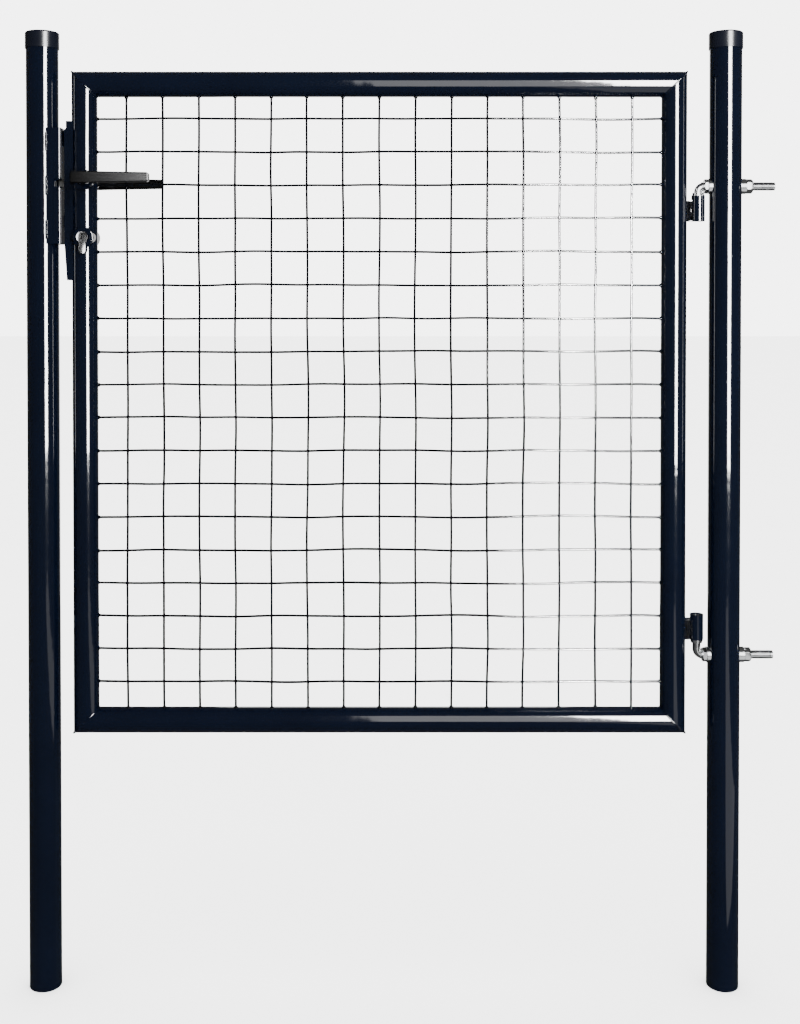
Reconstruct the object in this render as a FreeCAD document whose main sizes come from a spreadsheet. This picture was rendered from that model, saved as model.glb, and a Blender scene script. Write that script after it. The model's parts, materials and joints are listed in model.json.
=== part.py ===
import FreeCAD, Part
import math
import operator
import os
import Sketcher

# Garden gate: one mesh-filled tubular leaf hung between two round posts.
# Millimetres. +Z is up, +X runs from the latch post towards the hinge post, and the leaf
# opens towards -Y. The origin is the centre of the hinge post's foot.

doc = FreeCAD.newDocument("garden_gate")
sheet = doc.addObject("Spreadsheet::Sheet", "sizes")

OPERATIONS = {"+": operator.add, "-": operator.sub, "*": operator.mul, "/": operator.truediv}


class Size:
    """A length that knows both its number and the sheet formula that gives it."""

    def __init__(self, formula, number):
        self.formula = formula
        self.number = number

    def __add__(self, other):
        return combine(self, "+", other)

    def __radd__(self, other):
        return combine(other, "+", self)

    def __sub__(self, other):
        return combine(self, "-", other)

    def __rsub__(self, other):
        return combine(other, "-", self)

    def __mul__(self, other):
        return combine(self, "*", other)

    def __rmul__(self, other):
        return combine(other, "*", self)

    def __truediv__(self, other):
        return combine(self, "/", other)

    def __neg__(self):
        return combine(0, "-", self)


def number(size):
    return size.number if isinstance(size, Size) else float(size)


def formula(size):
    return size.formula if isinstance(size, Size) else repr(float(size))


def combine(left, sign, right):
    text = "(%s %s %s)" % (formula(left), sign, formula(right))
    return Size(text, OPERATIONS[sign](number(left), number(right)))


rows = []


def driving(alias, millimetres, note):
    """Write one driving dimension into the sheet and return it as a Size."""
    rows.append(alias)
    cell = "B%d" % len(rows)
    sheet.set("A%d" % len(rows), alias)
    sheet.set(cell, str(millimetres))
    sheet.setAlias(cell, alias)
    sheet.set("C%d" % len(rows), note)
    return Size("sizes." + alias, float(millimetres))


# ---- driving dimensions ---------------------------------------------------------------
post_spacing = driving("post_spacing", 1030, "post centre to post centre")
post_dia = driving("post_dia", 48, "outside of a post")
post_wall = driving("post_wall", 2, "wall of a post")
post_length = driving("post_length", 1442, "post tube, foot to top")
cap_skirt = driving("cap_skirt", 22, "cap skirt that slips over the post")
cap_wall = driving("cap_wall", 1.1, "wall of the skirt")
cap_top = driving("cap_top", 3, "thickness of the cap's top")
cap_round = driving("cap_round", 2.8, "rounding of the cap's top edge")
cap_play = driving("cap_play", 0.15, "radial play of a cap on its post")

latch_gap = driving("latch_gap", 20.5, "latch post to leaf")
hinge_gap = driving("hinge_gap", 34.5, "hinge post to leaf")
leaf_bottom = driving("leaf_bottom", 386, "foot of the posts to the leaf's lower edge")
leaf_height = driving("leaf_height", 1000, "outside height of the leaf")
tube_dia = driving("tube_dia", 38, "outside of the leaf's tube")
tube_wall = driving("tube_wall", 1.5, "wall of the leaf's tube")

wire_dia = driving("wire_dia", 3, "mesh wire")
wire_play = driving("wire_play", 0.05, "gap between crossing wires and at wire ends")
mesh_side_margin = driving("mesh_side_margin", 44.6, "stile to the outermost upright wire")
mesh_top_margin = driving("mesh_top_margin", 32, "top rail to the first level wire")
mesh_bottom_margin = driving("mesh_bottom_margin", 38.5, "bottom rail to the last level wire")

rod_dia = driving("rod_dia", 12, "hinge hook rod and pin")
rod_play = driving("rod_play", 0.4, "radial play of a rod in the post")
bend_radius = driving("bend_radius", 9, "centre-line bend of a hinge hook")
hinge_offset = driving("hinge_offset", 41, "hinge post centre to the hinge axis")
upper_hook_drop = driving("upper_hook_drop", 172.5, "leaf's top to the upper rod")
lower_hook_rise = driving("lower_hook_rise", 118.5, "leaf's bottom to the lower rod")
upper_seat = driving("upper_seat", 14.5, "upper rod to the barrel under it")
lower_seat = driving("lower_seat", 23.5, "lower rod to the barrel over it")
barrel_dia = driving("barrel_dia", 20, "outside of a hinge barrel")
barrel_length = driving("barrel_length", 38, "length of a hinge barrel")
barrel_play = driving("barrel_play", 0.08, "radial play of a pin in its barrel")
pin_short = driving("pin_short", 2.5, "pin end short of the barrel's far face")
strap_width = driving("strap_width", 6, "strap that joins a barrel to its stile")
strap_notch = driving("strap_notch", 6, "strap left short of the barrel's upper end")
collar_dia = driving("collar_dia", 17, "collar on a hinge pin")
collar_length = driving("collar_length", 3, "height of the collar")
washer_thick = driving("washer_thick", 1.6, "thrust washer")
washer_inset = driving("washer_inset", 0.5, "thrust washer inside the barrel's outside")
seat_play = driving("seat_play", 0.15, "axial play at a thrust washer")
nut_flats = driving("nut_flats", 19, "across flats of the hook nuts")
inner_nut = driving("inner_nut", 6, "thickness of the nut inside the gateway")
outer_nut = driving("outer_nut", 10, "thickness of the nut outside the gateway")
saddle_dia = driving("saddle_dia", 23, "saddle washer")
saddle_thick = driving("saddle_thick", 2.4, "saddle washer at the post's crown")
outer_saddle = driving("outer_saddle", 6, "outer saddle washer at the post's crown")
rod_tail = driving("rod_tail", 50, "rod that stands out past the hinge post")

lock_shift = driving("lock_shift", 2.5, "lock axis from the stile's axis")
spindle_drop = driving("spindle_drop", 164, "leaf's top to the lever's spindle")
key_drop = driving("key_drop", 86, "spindle to the key cylinder")
latch_drop = driving("latch_drop", 5, "spindle to the latch bolt")
dead_drop = driving("dead_drop", 61, "spindle to the deadbolt")
forend_proud = driving("forend_proud", 9, "forend face in front of the stile")
forend_width = driving("forend_width", 24, "forend, front to back")
forend_plate = driving("forend_plate", 2.5, "forend's face")
forend_side = driving("forend_side", 2, "forend's sides")
forend_rise = driving("forend_rise", 88.7, "spindle to the forend's top")
forend_fall = driving("forend_fall", 150, "spindle to the forend's bottom")
forend_step = driving("forend_step", 2.6, "step in the forend's face near its top")
forend_slant = driving("forend_slant", 3.5, "the face runs back by this at the bottom")
forend_ramp = driving("forend_ramp", 2, "height of the ramp at the step")
forend_top_land = driving("forend_top_land", 13, "height of the stepped land")
forend_foot_land = driving("forend_foot_land", 53, "height of the slanted foot")
case_width = driving("case_width", 16, "lock case, front to back, with its cover")
case_wall = driving("case_wall", 1.2, "sheet of the lock case")
case_rise = driving("case_rise", 36, "spindle to the case's top")
case_fall = driving("case_fall", 114, "spindle to the case's bottom")
case_rear = driving("case_rear", 13.9, "stile axis to the case's rear")
fit_play = driving("fit_play", 0.3, "clearance round moving lock parts and through holes")

hub_dia = driving("hub_dia", 15, "follower hub")
hub_play = driving("hub_play", 0.08, "radial running clearance of hubs and necks")
square = driving("square", 8, "square spindle")
square_play = driving("square_play", 0.05, "clearance on each side of the square")
arm_radius = driving("arm_radius", 18.5, "follower arm, axis to nose centre")
arm_nose = driving("arm_nose", 2, "radius of the follower's nose")
arm_thick = driving("arm_thick", 4, "follower arm, front to back")
lug_thick = driving("lug_thick", 2.5, "lug that the follower pushes")
strip_rise = driving("strip_rise", 1.5, "follower hub to the strip over it")
strip_cover = driving("strip_cover", 1, "strip above the follower's nose")
neck_dia = driving("neck_dia", 16, "lever's round neck")
rose_dia = driving("rose_dia", 31, "rose behind a lever or round the key cylinder")
rose_round = driving("rose_round", 2, "edge rounding of a rose")
rose_stand = driving("rose_stand", 5, "rose in front of the stile's crown")
lever_stand = driving("lever_stand", 60, "stile axis to the middle of the grip")
spindle_short = driving("spindle_short", 1, "spindle's end short of the grip's middle")
neck_lift = driving("neck_lift", 1, "neck's root to the stile's crown")
lever_thick = driving("lever_thick", 12, "grip, front to back")
lever_back = driving("lever_back", 9.5, "grip behind the spindle")
lever_reach = driving("lever_reach", 105.5, "grip ahead of the spindle")
lever_hub_height = driving("lever_hub_height", 18.5, "height of the grip at the spindle")
lever_tip_height = driving("lever_tip_height", 14, "height of the grip at its tip")
lever_round = driving("lever_round", 4, "corner rounding of the grip")
lever_edge = driving("lever_edge", 2, "edge rounding of the grip")

latch_height = driving("latch_height", 10, "latch bolt")
latch_thick = driving("latch_thick", 10, "latch bolt, front to back")
latch_proud = driving("latch_proud", 10, "latch bolt in front of the forend")
latch_bevel = driving("latch_bevel", 5, "bevel on the bolt's closing side")
latch_body = driving("latch_body", 12.5, "latch bolt behind the forend's face")
tail_plate = driving("tail_plate", 2, "sheet of the latch tail")
spring_dia = driving("spring_dia", 6.4, "latch spring, outside")
spring_lift = driving("spring_lift", 1, "latch spring over the strip")
spring_wire = driving("spring_wire", 0.9, "wire of the latch spring")
dead_height = driving("dead_height", 16, "deadbolt")
dead_thick = driving("dead_thick", 8, "deadbolt, front to back")
dead_throw = driving("dead_throw", 14, "deadbolt travel")
dead_tail = driving("dead_tail", 3.58, "deadbolt behind the stile's axis")
guide_back = driving("guide_back", 8, "forend's plate to the guide pin")
dead_sunk = driving("dead_sunk", 0.2, "deadbolt inside the forend's face when drawn back")
guide_dia = driving("guide_dia", 4, "deadbolt guide pin")

cylinder_round = driving("cylinder_round", 17, "round part of the key cylinder")
cylinder_web = driving("cylinder_web", 10, "web of the key cylinder")
cylinder_height = driving("cylinder_height", 33, "whole height of the key cylinder")
cylinder_length = driving("cylinder_length", 60, "length of the key cylinder")
plug_dia = driving("plug_dia", 13, "turning plug")
plug_play = driving("plug_play", 0.06, "radial running clearance of a plug")
cam_gap = driving("cam_gap", 10, "gap for the cam in the key cylinder")
cam_play = driving("cam_play", 0.25, "axial clearance of the cam")
cam_reach = driving("cam_reach", 13, "cam nose radius")
cam_ring_wall = driving("cam_ring_wall", 0.5, "cam ring over the plug's radius")
cam_width = driving("cam_width", 7, "width of the cam")
keyway_width = driving("keyway_width", 2.4, "keyway")
keyway_height = driving("keyway_height", 9.4, "keyway")
keyway_rim = driving("keyway_rim", 1.5, "keyway to the plug's edge")
keyway_depth = driving("keyway_depth", 22, "keyway, from the plug's face")
screw_dia = driving("screw_dia", 5, "lock screws")
screw_head = driving("screw_head", 9, "head of a lock screw")
head_thick = driving("head_thick", 1.3, "thickness of a lock screw's head")
head_sunk = driving("head_sunk", 0.1, "screw head inside the forend's face")
fixing_drop = driving("fixing_drop", 19.5, "key cylinder's axis to its fixing screw")
upper_screw_rise = driving("upper_screw_rise", 58, "spindle to the upper forend screw")
lower_screw_drop = driving("lower_screw_drop", 127, "spindle to the lower forend screw")

strike_gap = driving("strike_gap", 2.6, "forend to strike")
strike_wall = driving("strike_wall", 2.5, "sheet of the strike bracket")
strike_width = driving("strike_width", 47, "strike bracket, front to back")
strike_lap = driving("strike_lap", 12, "strike bracket's lap over the post")
strike_rise = driving("strike_rise", 77.5, "spindle to the strike bracket's top")
strike_height = driving("strike_height", 173, "height of the strike bracket")
mouth_spare = driving("mouth_spare", 1.5, "mouth behind the latch bolt's tip")
mouth_play = driving("mouth_play", 0.5, "clearance round the latch bolt in its mouth")
stop_height = driving("stop_height", 24, "height of the closing stop")
stop_reach = driving("stop_reach", 9, "closing stop behind the forend")
stop_play = driving("stop_play", 0.3, "forend to the closing stop")

OVERCUT = 1
MESH_UPRIGHTS = 15
MESH_LEVELS = 18
SPRING_TURNS = 8
ARM_LEAN = math.radians(25)
BEVEL_ANGLE = 30

# ---- places worked out from the driving dimensions --------------------------------------
post_r = post_dia / 2
tube_r = tube_dia / 2
rod_r = rod_dia / 2
leaf_width = post_spacing - post_dia - latch_gap - hinge_gap
leaf_top = leaf_bottom + leaf_height
leaf_middle_x = -post_r - hinge_gap - leaf_width / 2
leaf_middle_z = leaf_bottom + leaf_height / 2
hinge_stile_x = -post_r - hinge_gap - tube_r
latch_stile_x = -post_r - hinge_gap - leaf_width + tube_r
hinge_x = -hinge_offset
upper_rod_z = leaf_top - upper_hook_drop
lower_rod_z = leaf_bottom + lower_hook_rise
upper_barrel_z = upper_rod_z - upper_seat - barrel_length
lower_barrel_z = lower_rod_z + lower_seat
spindle_z = leaf_top - spindle_drop
key_z = spindle_z - key_drop
lock_x = latch_stile_x + lock_shift
forend_face = -tube_r - forend_proud
strike_x = latch_stile_x + forend_face - strike_gap
strike_bottom = spindle_z + strike_rise - strike_height
latch_mouth_depth = latch_proud - strike_gap + mouth_spare
crown = tube_r + rose_stand

UPRIGHT = FreeCAD.Rotation()
ALONG_X = FreeCAD.Rotation(FreeCAD.Vector(0, 1, 0), 90)
ALONG_Y = FreeCAD.Rotation(FreeCAD.Vector(1, 0, 0), -90)


# ---- document helpers -------------------------------------------------------------------
def bind(item, name, size):
    setattr(item, name, number(size))
    if isinstance(size, Size):
        item.setExpression(name, size.formula)


def place(item, x=0, y=0, z=0, turn=UPRIGHT):
    item.Placement = FreeCAD.Placement(FreeCAD.Vector(number(x), number(y), number(z)), turn)
    for axis, size in (("x", x), ("y", y), ("z", z)):
        if isinstance(size, Size):
            item.setExpression("Placement.Base." + axis, size.formula)
    return item


def new_body(label, x=0, y=0, z=0):
    body = doc.addObject("PartDesign::Body", label)
    body.Label = label
    return place(body, x, y, z)


def new_sketch(body, role, offset=0):
    """A sketch on one of the body's own planes, moved along the plane's normal by offset."""
    drawing = body.newObject("Sketcher::SketchObject", body.Label + "_sketch")
    origin_plane = [item for item in body.Origin.OriginFeatures if item.Role == role][0]
    drawing.AttachmentSupport = [(origin_plane, "")]
    drawing.MapMode = "FlatFace"
    drawing.AttachmentOffset = FreeCAD.Placement(FreeCAD.Vector(0, 0, number(offset)), UPRIGHT)
    if isinstance(offset, Size):
        drawing.setExpression("AttachmentOffset.Base.z", offset.formula)
    return drawing


def constrain(drawing, kind, *arguments):
    """Add a dimension whose last argument is a Size or a number, and bind it."""
    size = arguments[-1]
    index = drawing.addConstraint(Sketcher.Constraint(kind, *arguments[:-1], number(size)))
    if isinstance(size, Size):
        name = "d%d" % index
        drawing.renameConstraint(index, name)
        drawing.setExpression("Constraints." + name, size.formula)


def hold_point(drawing, geometry, point, across, up):
    """Fix a point at the distances across and up from the sketch's origin."""
    for kind, axis, size in (("DistanceX", -2, across), ("DistanceY", -1, up)):
        if isinstance(size, Size) or size != 0:
            constrain(drawing, kind, -1, 1, geometry, point, size)
        else:
            drawing.addConstraint(Sketcher.Constraint("PointOnObject", geometry, point, axis))


def outline(drawing, corners):
    """A closed outline of straight sides through corners."""
    first = drawing.GeometryCount
    spots = [FreeCAD.Vector(number(across), number(up), 0) for across, up in corners]
    for index, spot in enumerate(spots):
        drawing.addGeometry(Part.LineSegment(spot, spots[(index + 1) % len(spots)]), False)
    for index, (across, up) in enumerate(corners):
        following = first + (index + 1) % len(corners)
        drawing.addConstraint(Sketcher.Constraint("Coincident", first + index, 2, following, 1))
        hold_point(drawing, first + index, 1, across, up)


def rectangle(drawing, left, right, low, high):
    outline(drawing, [(left, low), (right, low), (right, high), (left, high)])


def circle(drawing, across, up, radius):
    index = drawing.GeometryCount
    centre = FreeCAD.Vector(number(across), number(up), 0)
    drawing.addGeometry(Part.Circle(centre, FreeCAD.Vector(0, 0, 1), number(radius)), False)
    hold_point(drawing, index, 3, across, up)
    constrain(drawing, "Radius", index, radius)


def feature(body, kind, drawing, length, symmetric, reverse):
    before = 0 if body.Shape.isNull() else body.Shape.Volume
    item = body.newObject("PartDesign::" + kind, body.Label + "_" + kind.lower())
    item.Profile = drawing
    bind(item, "Length", length)
    item.SideType = "Symmetric" if symmetric else "One side"
    item.Reversed = reverse
    doc.recompute()
    change = body.Shape.Volume - before
    if (change < 1e-6) == (kind == "Pad"):
        raise ValueError("%s changed nothing on %s" % (kind, body.Label))
    return item


def pad(body, drawing, length, symmetric=False, reverse=False):
    return feature(body, "Pad", drawing, length, symmetric, reverse)


def pocket(body, drawing, length, symmetric=False, reverse=False):
    return feature(body, "Pocket", drawing, length, symmetric, reverse)


def edge_names(shape, wanted):
    return ["Edge%d" % (i + 1) for i, edge in enumerate(shape.Edges) if wanted(edge)]


def soften(body, kind, radius, wanted):
    """Fillet or chamfer the edges of the body's tip that wanted() picks."""
    tip = body.Tip
    names = edge_names(tip.Shape, wanted)
    item = body.newObject("PartDesign::" + kind, body.Label + "_" + kind.lower())
    item.Base = (tip, names)
    bind(item, "Radius" if kind == "Fillet" else "Size", radius)
    doc.recompute()
    return item


def middle(edge):
    return edge.BoundBox.Center


def box(name, x, y, z, long, wide, high):
    """A Part box whose least corner is at x, y, z."""
    item = doc.addObject("Part::Box", name)
    bind(item, "Length", long)
    bind(item, "Width", wide)
    bind(item, "Height", high)
    return place(item, x, y, z)


def rod(name, radius, length, x, y, z, turn=UPRIGHT):
    item = doc.addObject("Part::Cylinder", name)
    bind(item, "Radius", radius)
    bind(item, "Height", length)
    return place(item, x, y, z, turn)


def fused(name, pieces):
    item = doc.addObject("Part::MultiFuse", name)
    item.Shapes = pieces
    item.Refine = True
    return item


def less(name, base, tools):
    """The base with every tool cut away."""
    item = doc.addObject("Part::Cut", name)
    item.Base = base
    item.Tool = tools[0] if len(tools) == 1 else fused(name + "_tools", tools)
    return item


def group(name, pieces):
    item = doc.addObject("Part::Compound", name)
    item.Links = pieces
    return item


nodes = {}


def finished(label, item):
    item.Label = label
    nodes[label] = item
    return item


# ---- posts ------------------------------------------------------------------------------
def post_tube(label, x):
    """A round post with a closed foot."""
    body = new_body(label, x=x)
    section = new_sketch(body, "XY_Plane")
    circle(section, 0, 0, post_r)
    pad(body, section, post_length)
    hollow = new_sketch(body, "XY_Plane", post_wall)
    circle(hollow, 0, 0, post_r - post_wall)
    pocket(body, hollow, post_length, reverse=True)
    return finished(label, body)


def hinge_post():
    body = post_tube("hinge_post", 0)
    holes = new_sketch(body, "YZ_Plane")
    for height in (upper_rod_z, lower_rod_z):
        circle(holes, 0, height, rod_r + rod_play)
    pocket(body, holes, post_dia * 2, symmetric=True)


def latch_post():
    body = post_tube("latch_post", -post_spacing)
    window = new_sketch(body, "YZ_Plane", post_r)
    half_y = dead_thick / 2 + fit_play * 3
    half_z = dead_height / 2 + fit_play * 3
    height = spindle_z - dead_drop
    rectangle(window, -half_y, half_y, height - half_z, height + half_z)
    pocket(body, window, post_r)


def post_cap(label, x):
    body = new_body(label, x=x, z=post_length - cap_skirt)
    bore = post_r + cap_play
    disc = new_sketch(body, "XY_Plane")
    circle(disc, 0, 0, bore + cap_wall)
    pad(body, disc, cap_skirt + cap_top)
    hollow = new_sketch(body, "XY_Plane")
    circle(hollow, 0, 0, bore)
    pocket(body, hollow, cap_skirt, reverse=True)
    top = number(cap_skirt + cap_top)
    soften(body, "Fillet", cap_round, lambda edge: abs(edge.BoundBox.ZMin - top) < 1e-4)
    finished(label, body)


def strike_bracket():
    """A channel that hugs the post, with a mouth for the latch and a closing stop."""
    body = new_body("strike_bracket", strike_x, 0, strike_bottom)
    half = strike_width / 2
    depth = latch_gap + tube_r + forend_face - strike_gap + strike_lap
    section = new_sketch(body, "XY_Plane")
    outline(section, [
        (0, -half), (0, half), (-depth, half), (-depth, half - strike_wall),
        (-strike_wall, half - strike_wall), (-strike_wall, strike_wall - half),
        (-depth, strike_wall - half), (-depth, -half)])
    pad(body, section, strike_height)
    top = number(strike_height)
    soften(body, "Fillet", strike_wall * 1.2, lambda edge: abs(middle(edge).x) < 1e-4
           and abs(edge.Length - top) < 1e-4)
    stop = new_sketch(body, "XY_Plane", strike_height - stop_height)
    near = forend_width / 2 + stop_play
    rectangle(stop, -strike_wall, strike_gap + stop_reach, near, near + strike_wall)
    pad(body, stop, stop_height)
    spindle_up = strike_height - strike_rise
    mouth = new_sketch(body, "YZ_Plane")
    latch_up = spindle_up - latch_drop
    half_mouth = latch_height / 2 + mouth_play
    rectangle(mouth, -half - OVERCUT, latch_thick / 2 + mouth_play,
              latch_up - half_mouth, latch_up + half_mouth)
    pocket(body, mouth, latch_mouth_depth)
    keep = new_sketch(body, "YZ_Plane")
    dead_up = spindle_up - dead_drop
    half_y = dead_thick / 2 + fit_play * 2
    half_z = dead_height / 2 + fit_play * 2
    rectangle(keep, -half_y, half_y, dead_up - half_z, dead_up + half_z)
    pocket(body, keep, strike_wall * 2)
    finished("strike_bracket", body)


# ---- hinges -----------------------------------------------------------------------------
def hinge_hook(label, rod_z, seat, way):
    """A rod through the post, bent up (way 1) or down (way -1) into a pin with a collar."""
    bend_x = hinge_x + bend_radius
    straight = rod(label + "_rod", rod_r, post_r + rod_tail - bend_x, bend_x, 0, rod_z, ALONG_X)
    bend = doc.addObject("Part::Torus", label + "_bend")
    bind(bend, "Radius1", bend_radius)
    bind(bend, "Radius2", rod_r)
    bend.Angle3 = 90
    if way > 0:
        axes = ((-1, 0, 0), (0, 0, -1), (0, -1, 0))
    else:
        axes = ((0, 0, 1), (-1, 0, 0), (0, -1, 0))
    turn = FreeCAD.Rotation(*[FreeCAD.Vector(*axis) for axis in axes], "XYZ")
    place(bend, bend_x, 0, rod_z + way * bend_radius, turn)
    length = seat + barrel_length - pin_short - bend_radius
    collar_far = seat - seat_play * 2 - washer_thick
    if way > 0:
        pin_z = rod_z + bend_radius
        collar_z = rod_z + collar_far - collar_length
    else:
        pin_z = rod_z - bend_radius - length
        collar_z = rod_z - collar_far
    pin = rod(label + "_pin", rod_r, length, hinge_x, 0, pin_z)
    collar = rod(label + "_collar", collar_dia / 2, collar_length, hinge_x, 0, collar_z)
    finished(label, fused(label, [straight, bend, pin, collar]))


def thrust_washers():
    """A washer between each hook's collar and its barrel."""
    pieces = []
    bore = rod_r + barrel_play * 2
    for name, low in (("upper", upper_rod_z - upper_seat + seat_play),
                      ("lower", lower_rod_z + lower_seat - seat_play - washer_thick)):
        disc = rod(name + "_thrust_disc", barrel_dia / 2 - washer_inset, washer_thick, hinge_x,
                   0, low)
        hole = rod(name + "_thrust_hole", bore, washer_thick, hinge_x, 0, low)
        pieces.append(less(name + "_thrust_washer", disc, [hole]))
    finished("thrust_washers", group("thrust_washers", pieces))


def hook_washers(label, side, crown_thick):
    """Saddle washers, hollowed to the post, on the side -1 (gateway) or 1 (outside)."""
    pieces = []
    reach = post_r + crown_thick
    inward = post_r - saddle_dia * saddle_dia / (post_r * 8) - OVERCUT
    start = inward if side > 0 else -reach
    for name, height in (("upper", upper_rod_z), ("lower", lower_rod_z)):
        stem = label + "_" + name
        disc = rod(stem + "_disc", saddle_dia / 2, reach - inward, start, 0, height, ALONG_X)
        core = rod(stem + "_core", post_r + wire_play, saddle_dia * 2, 0, 0, height - saddle_dia)
        hole = rod(stem + "_hole", rod_r + fit_play, post_dia * 4, -post_dia * 2, 0, height,
                   ALONG_X)
        pieces.append(less(stem, disc, [core, hole]))
    finished(label, group(label, pieces))


def hook_nuts(label, start, thick):
    """Hexagon nuts on both rods, from start towards +X."""
    pieces = []
    for name, height in (("upper", upper_rod_z), ("lower", lower_rod_z)):
        stem = label + "_" + name
        hexagon = doc.addObject("Part::Prism", stem + "_hexagon")
        hexagon.Polygon = 6
        bind(hexagon, "Circumradius", nut_flats / (2 * math.cos(math.pi / 6)))
        bind(hexagon, "Height", thick)
        place(hexagon, start, 0, height, ALONG_X)
        hole = rod(stem + "_bore", rod_r + wire_play, thick, start, 0, height, ALONG_X)
        pieces.append(less(stem, hexagon, [hole]))
    finished(label, group(label, pieces))


def barrel(label, low):
    body = new_body(label, hinge_x, 0, low)
    section = new_sketch(body, "XY_Plane")
    circle(section, 0, 0, barrel_dia / 2)
    circle(section, 0, 0, rod_r + barrel_play)
    pad(body, section, barrel_length)
    finished(label, body)


def hinge_straps():
    """Short straps that carry the barrels on the hinge stile."""
    pieces = []
    for name, low in (("upper", upper_barrel_z), ("lower", lower_barrel_z)):
        stem = name + "_strap"
        blank = box(stem + "_blank", hinge_stile_x, -strap_width / 2, low,
                    hinge_x - hinge_stile_x, strap_width, barrel_length - strap_notch)
        stile = rod(stem + "_stile", tube_r + wire_play, barrel_length, hinge_stile_x, 0, low)
        knuckle = rod(stem + "_knuckle", barrel_dia / 2 + wire_play, barrel_length, hinge_x, 0,
                      low)
        pieces.append(less(stem, blank, [stile, knuckle]))
    finished("hinge_straps", group("hinge_straps", pieces))


# ---- leaf frame -------------------------------------------------------------------------
def mitred_tube(label, x, z, length, along_x, outside):
    """A tube cut at 45 degrees at both ends; outside is the sign of its longer side."""
    body = new_body(label, x, 0, z)
    section = new_sketch(body, "YZ_Plane" if along_x else "XY_Plane")
    circle(section, 0, 0, tube_r)
    circle(section, 0, 0, tube_r - tube_wall)
    pad(body, section, length, symmetric=True)
    over = tube_r + OVERCUT
    for end in (-1, 1):
        corners = [(end * (length / 2 + OVERCUT), outside * over),
                   (end * (length / 2 - tube_dia - OVERCUT), -outside * over),
                   (end * (length / 2 + OVERCUT), -outside * over)]
        if not along_x:
            corners = [(up, across) for across, up in corners]
        wedge = new_sketch(body, "XZ_Plane")
        outline(wedge, corners)
        pocket(body, wedge, tube_dia * 2, symmetric=True)
    return finished(label, body)


def cylinder_cutout(body, across, up, play, depth):
    """Let the key cylinder through, with play all round."""
    lobe_r = cylinder_web / 2
    lobe_up = up + cylinder_round / 2 - cylinder_height + lobe_r
    for centre, radius in ((up, cylinder_round / 2 + play), (lobe_up, lobe_r + play)):
        ring = new_sketch(body, "XZ_Plane")
        circle(ring, across, centre, radius)
        pocket(body, ring, depth, symmetric=True)
    web = new_sketch(body, "XZ_Plane")
    rectangle(web, across - lobe_r - play, across + lobe_r + play, lobe_up, up)
    pocket(body, web, depth, symmetric=True)


def leaf_frame():
    mitred_tube("top_rail", leaf_middle_x, leaf_top - tube_r, leaf_width, True, 1)
    mitred_tube("bottom_rail", leaf_middle_x, leaf_bottom + tube_r, leaf_width, True, -1)
    mitred_tube("hinge_stile", hinge_stile_x, leaf_middle_z, leaf_height, False, 1)
    body = mitred_tube("latch_stile", latch_stile_x, leaf_middle_z, leaf_height, False, -1)
    spindle_up = spindle_z - leaf_middle_z
    slot = new_sketch(body, "XZ_Plane")
    rectangle(slot, -tube_dia, -tube_r / 2, spindle_up - case_fall - OVERCUT * 2,
              spindle_up + case_rise + OVERCUT * 2)
    pocket(body, slot, case_width + fit_play * 2, symmetric=True)
    spindle_hole = new_sketch(body, "XZ_Plane")
    circle(spindle_hole, lock_shift, spindle_up, neck_dia / 2 + fit_play * 3)
    pocket(body, spindle_hole, tube_dia * 2, symmetric=True)
    cylinder_cutout(body, lock_shift, spindle_up - key_drop, fit_play, tube_dia * 2)
    screw_holes = new_sketch(body, "YZ_Plane")
    for height in (spindle_up + upper_screw_rise, spindle_up - lower_screw_drop):
        circle(screw_holes, 0, height, screw_dia / 2 + wire_play)
    pocket(body, screw_holes, tube_dia)


def mesh_wires():
    """Upright wires in front, level wires behind, welded where they cross."""
    length = leaf_height - tube_dia * 2 - wire_play * 2
    first = latch_stile_x + tube_r + mesh_side_margin
    pitch = (leaf_width - tube_dia * 2 - mesh_side_margin * 2) / (MESH_UPRIGHTS - 1)
    offset = wire_dia / 2 + wire_play / 2
    uprights = []
    for index in range(MESH_UPRIGHTS):
        uprights.append(rod("upright_%d" % index, wire_dia / 2, length, first + pitch * index,
                            -offset, leaf_bottom + tube_dia + wire_play))
    finished("mesh_upright_wires", group("mesh_upright_wires", uprights))
    length = leaf_width - tube_dia * 2 - wire_play * 2
    lowest = leaf_bottom + tube_dia + mesh_bottom_margin
    pitch = (leaf_height - tube_dia * 2 - mesh_bottom_margin - mesh_top_margin) / (MESH_LEVELS - 1)
    levels = []
    for index in range(MESH_LEVELS):
        levels.append(rod("level_%d" % index, wire_dia / 2, length,
                          latch_stile_x + tube_r + wire_play, offset, lowest + pitch * index,
                          ALONG_X))
    finished("mesh_level_wires", group("mesh_level_wires", levels))


# ---- lock -------------------------------------------------------------------------------
# The lock's bodies have their origin where the stile's axis meets the spindle's height.
def forend_front(height):
    """How far the forend's face lies from the stile's axis at a height above the spindle."""
    foot = forend_foot_land - forend_fall
    if number(height) >= number(foot):
        return forend_face
    return forend_face + forend_slant * (foot - height) / forend_foot_land


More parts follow.
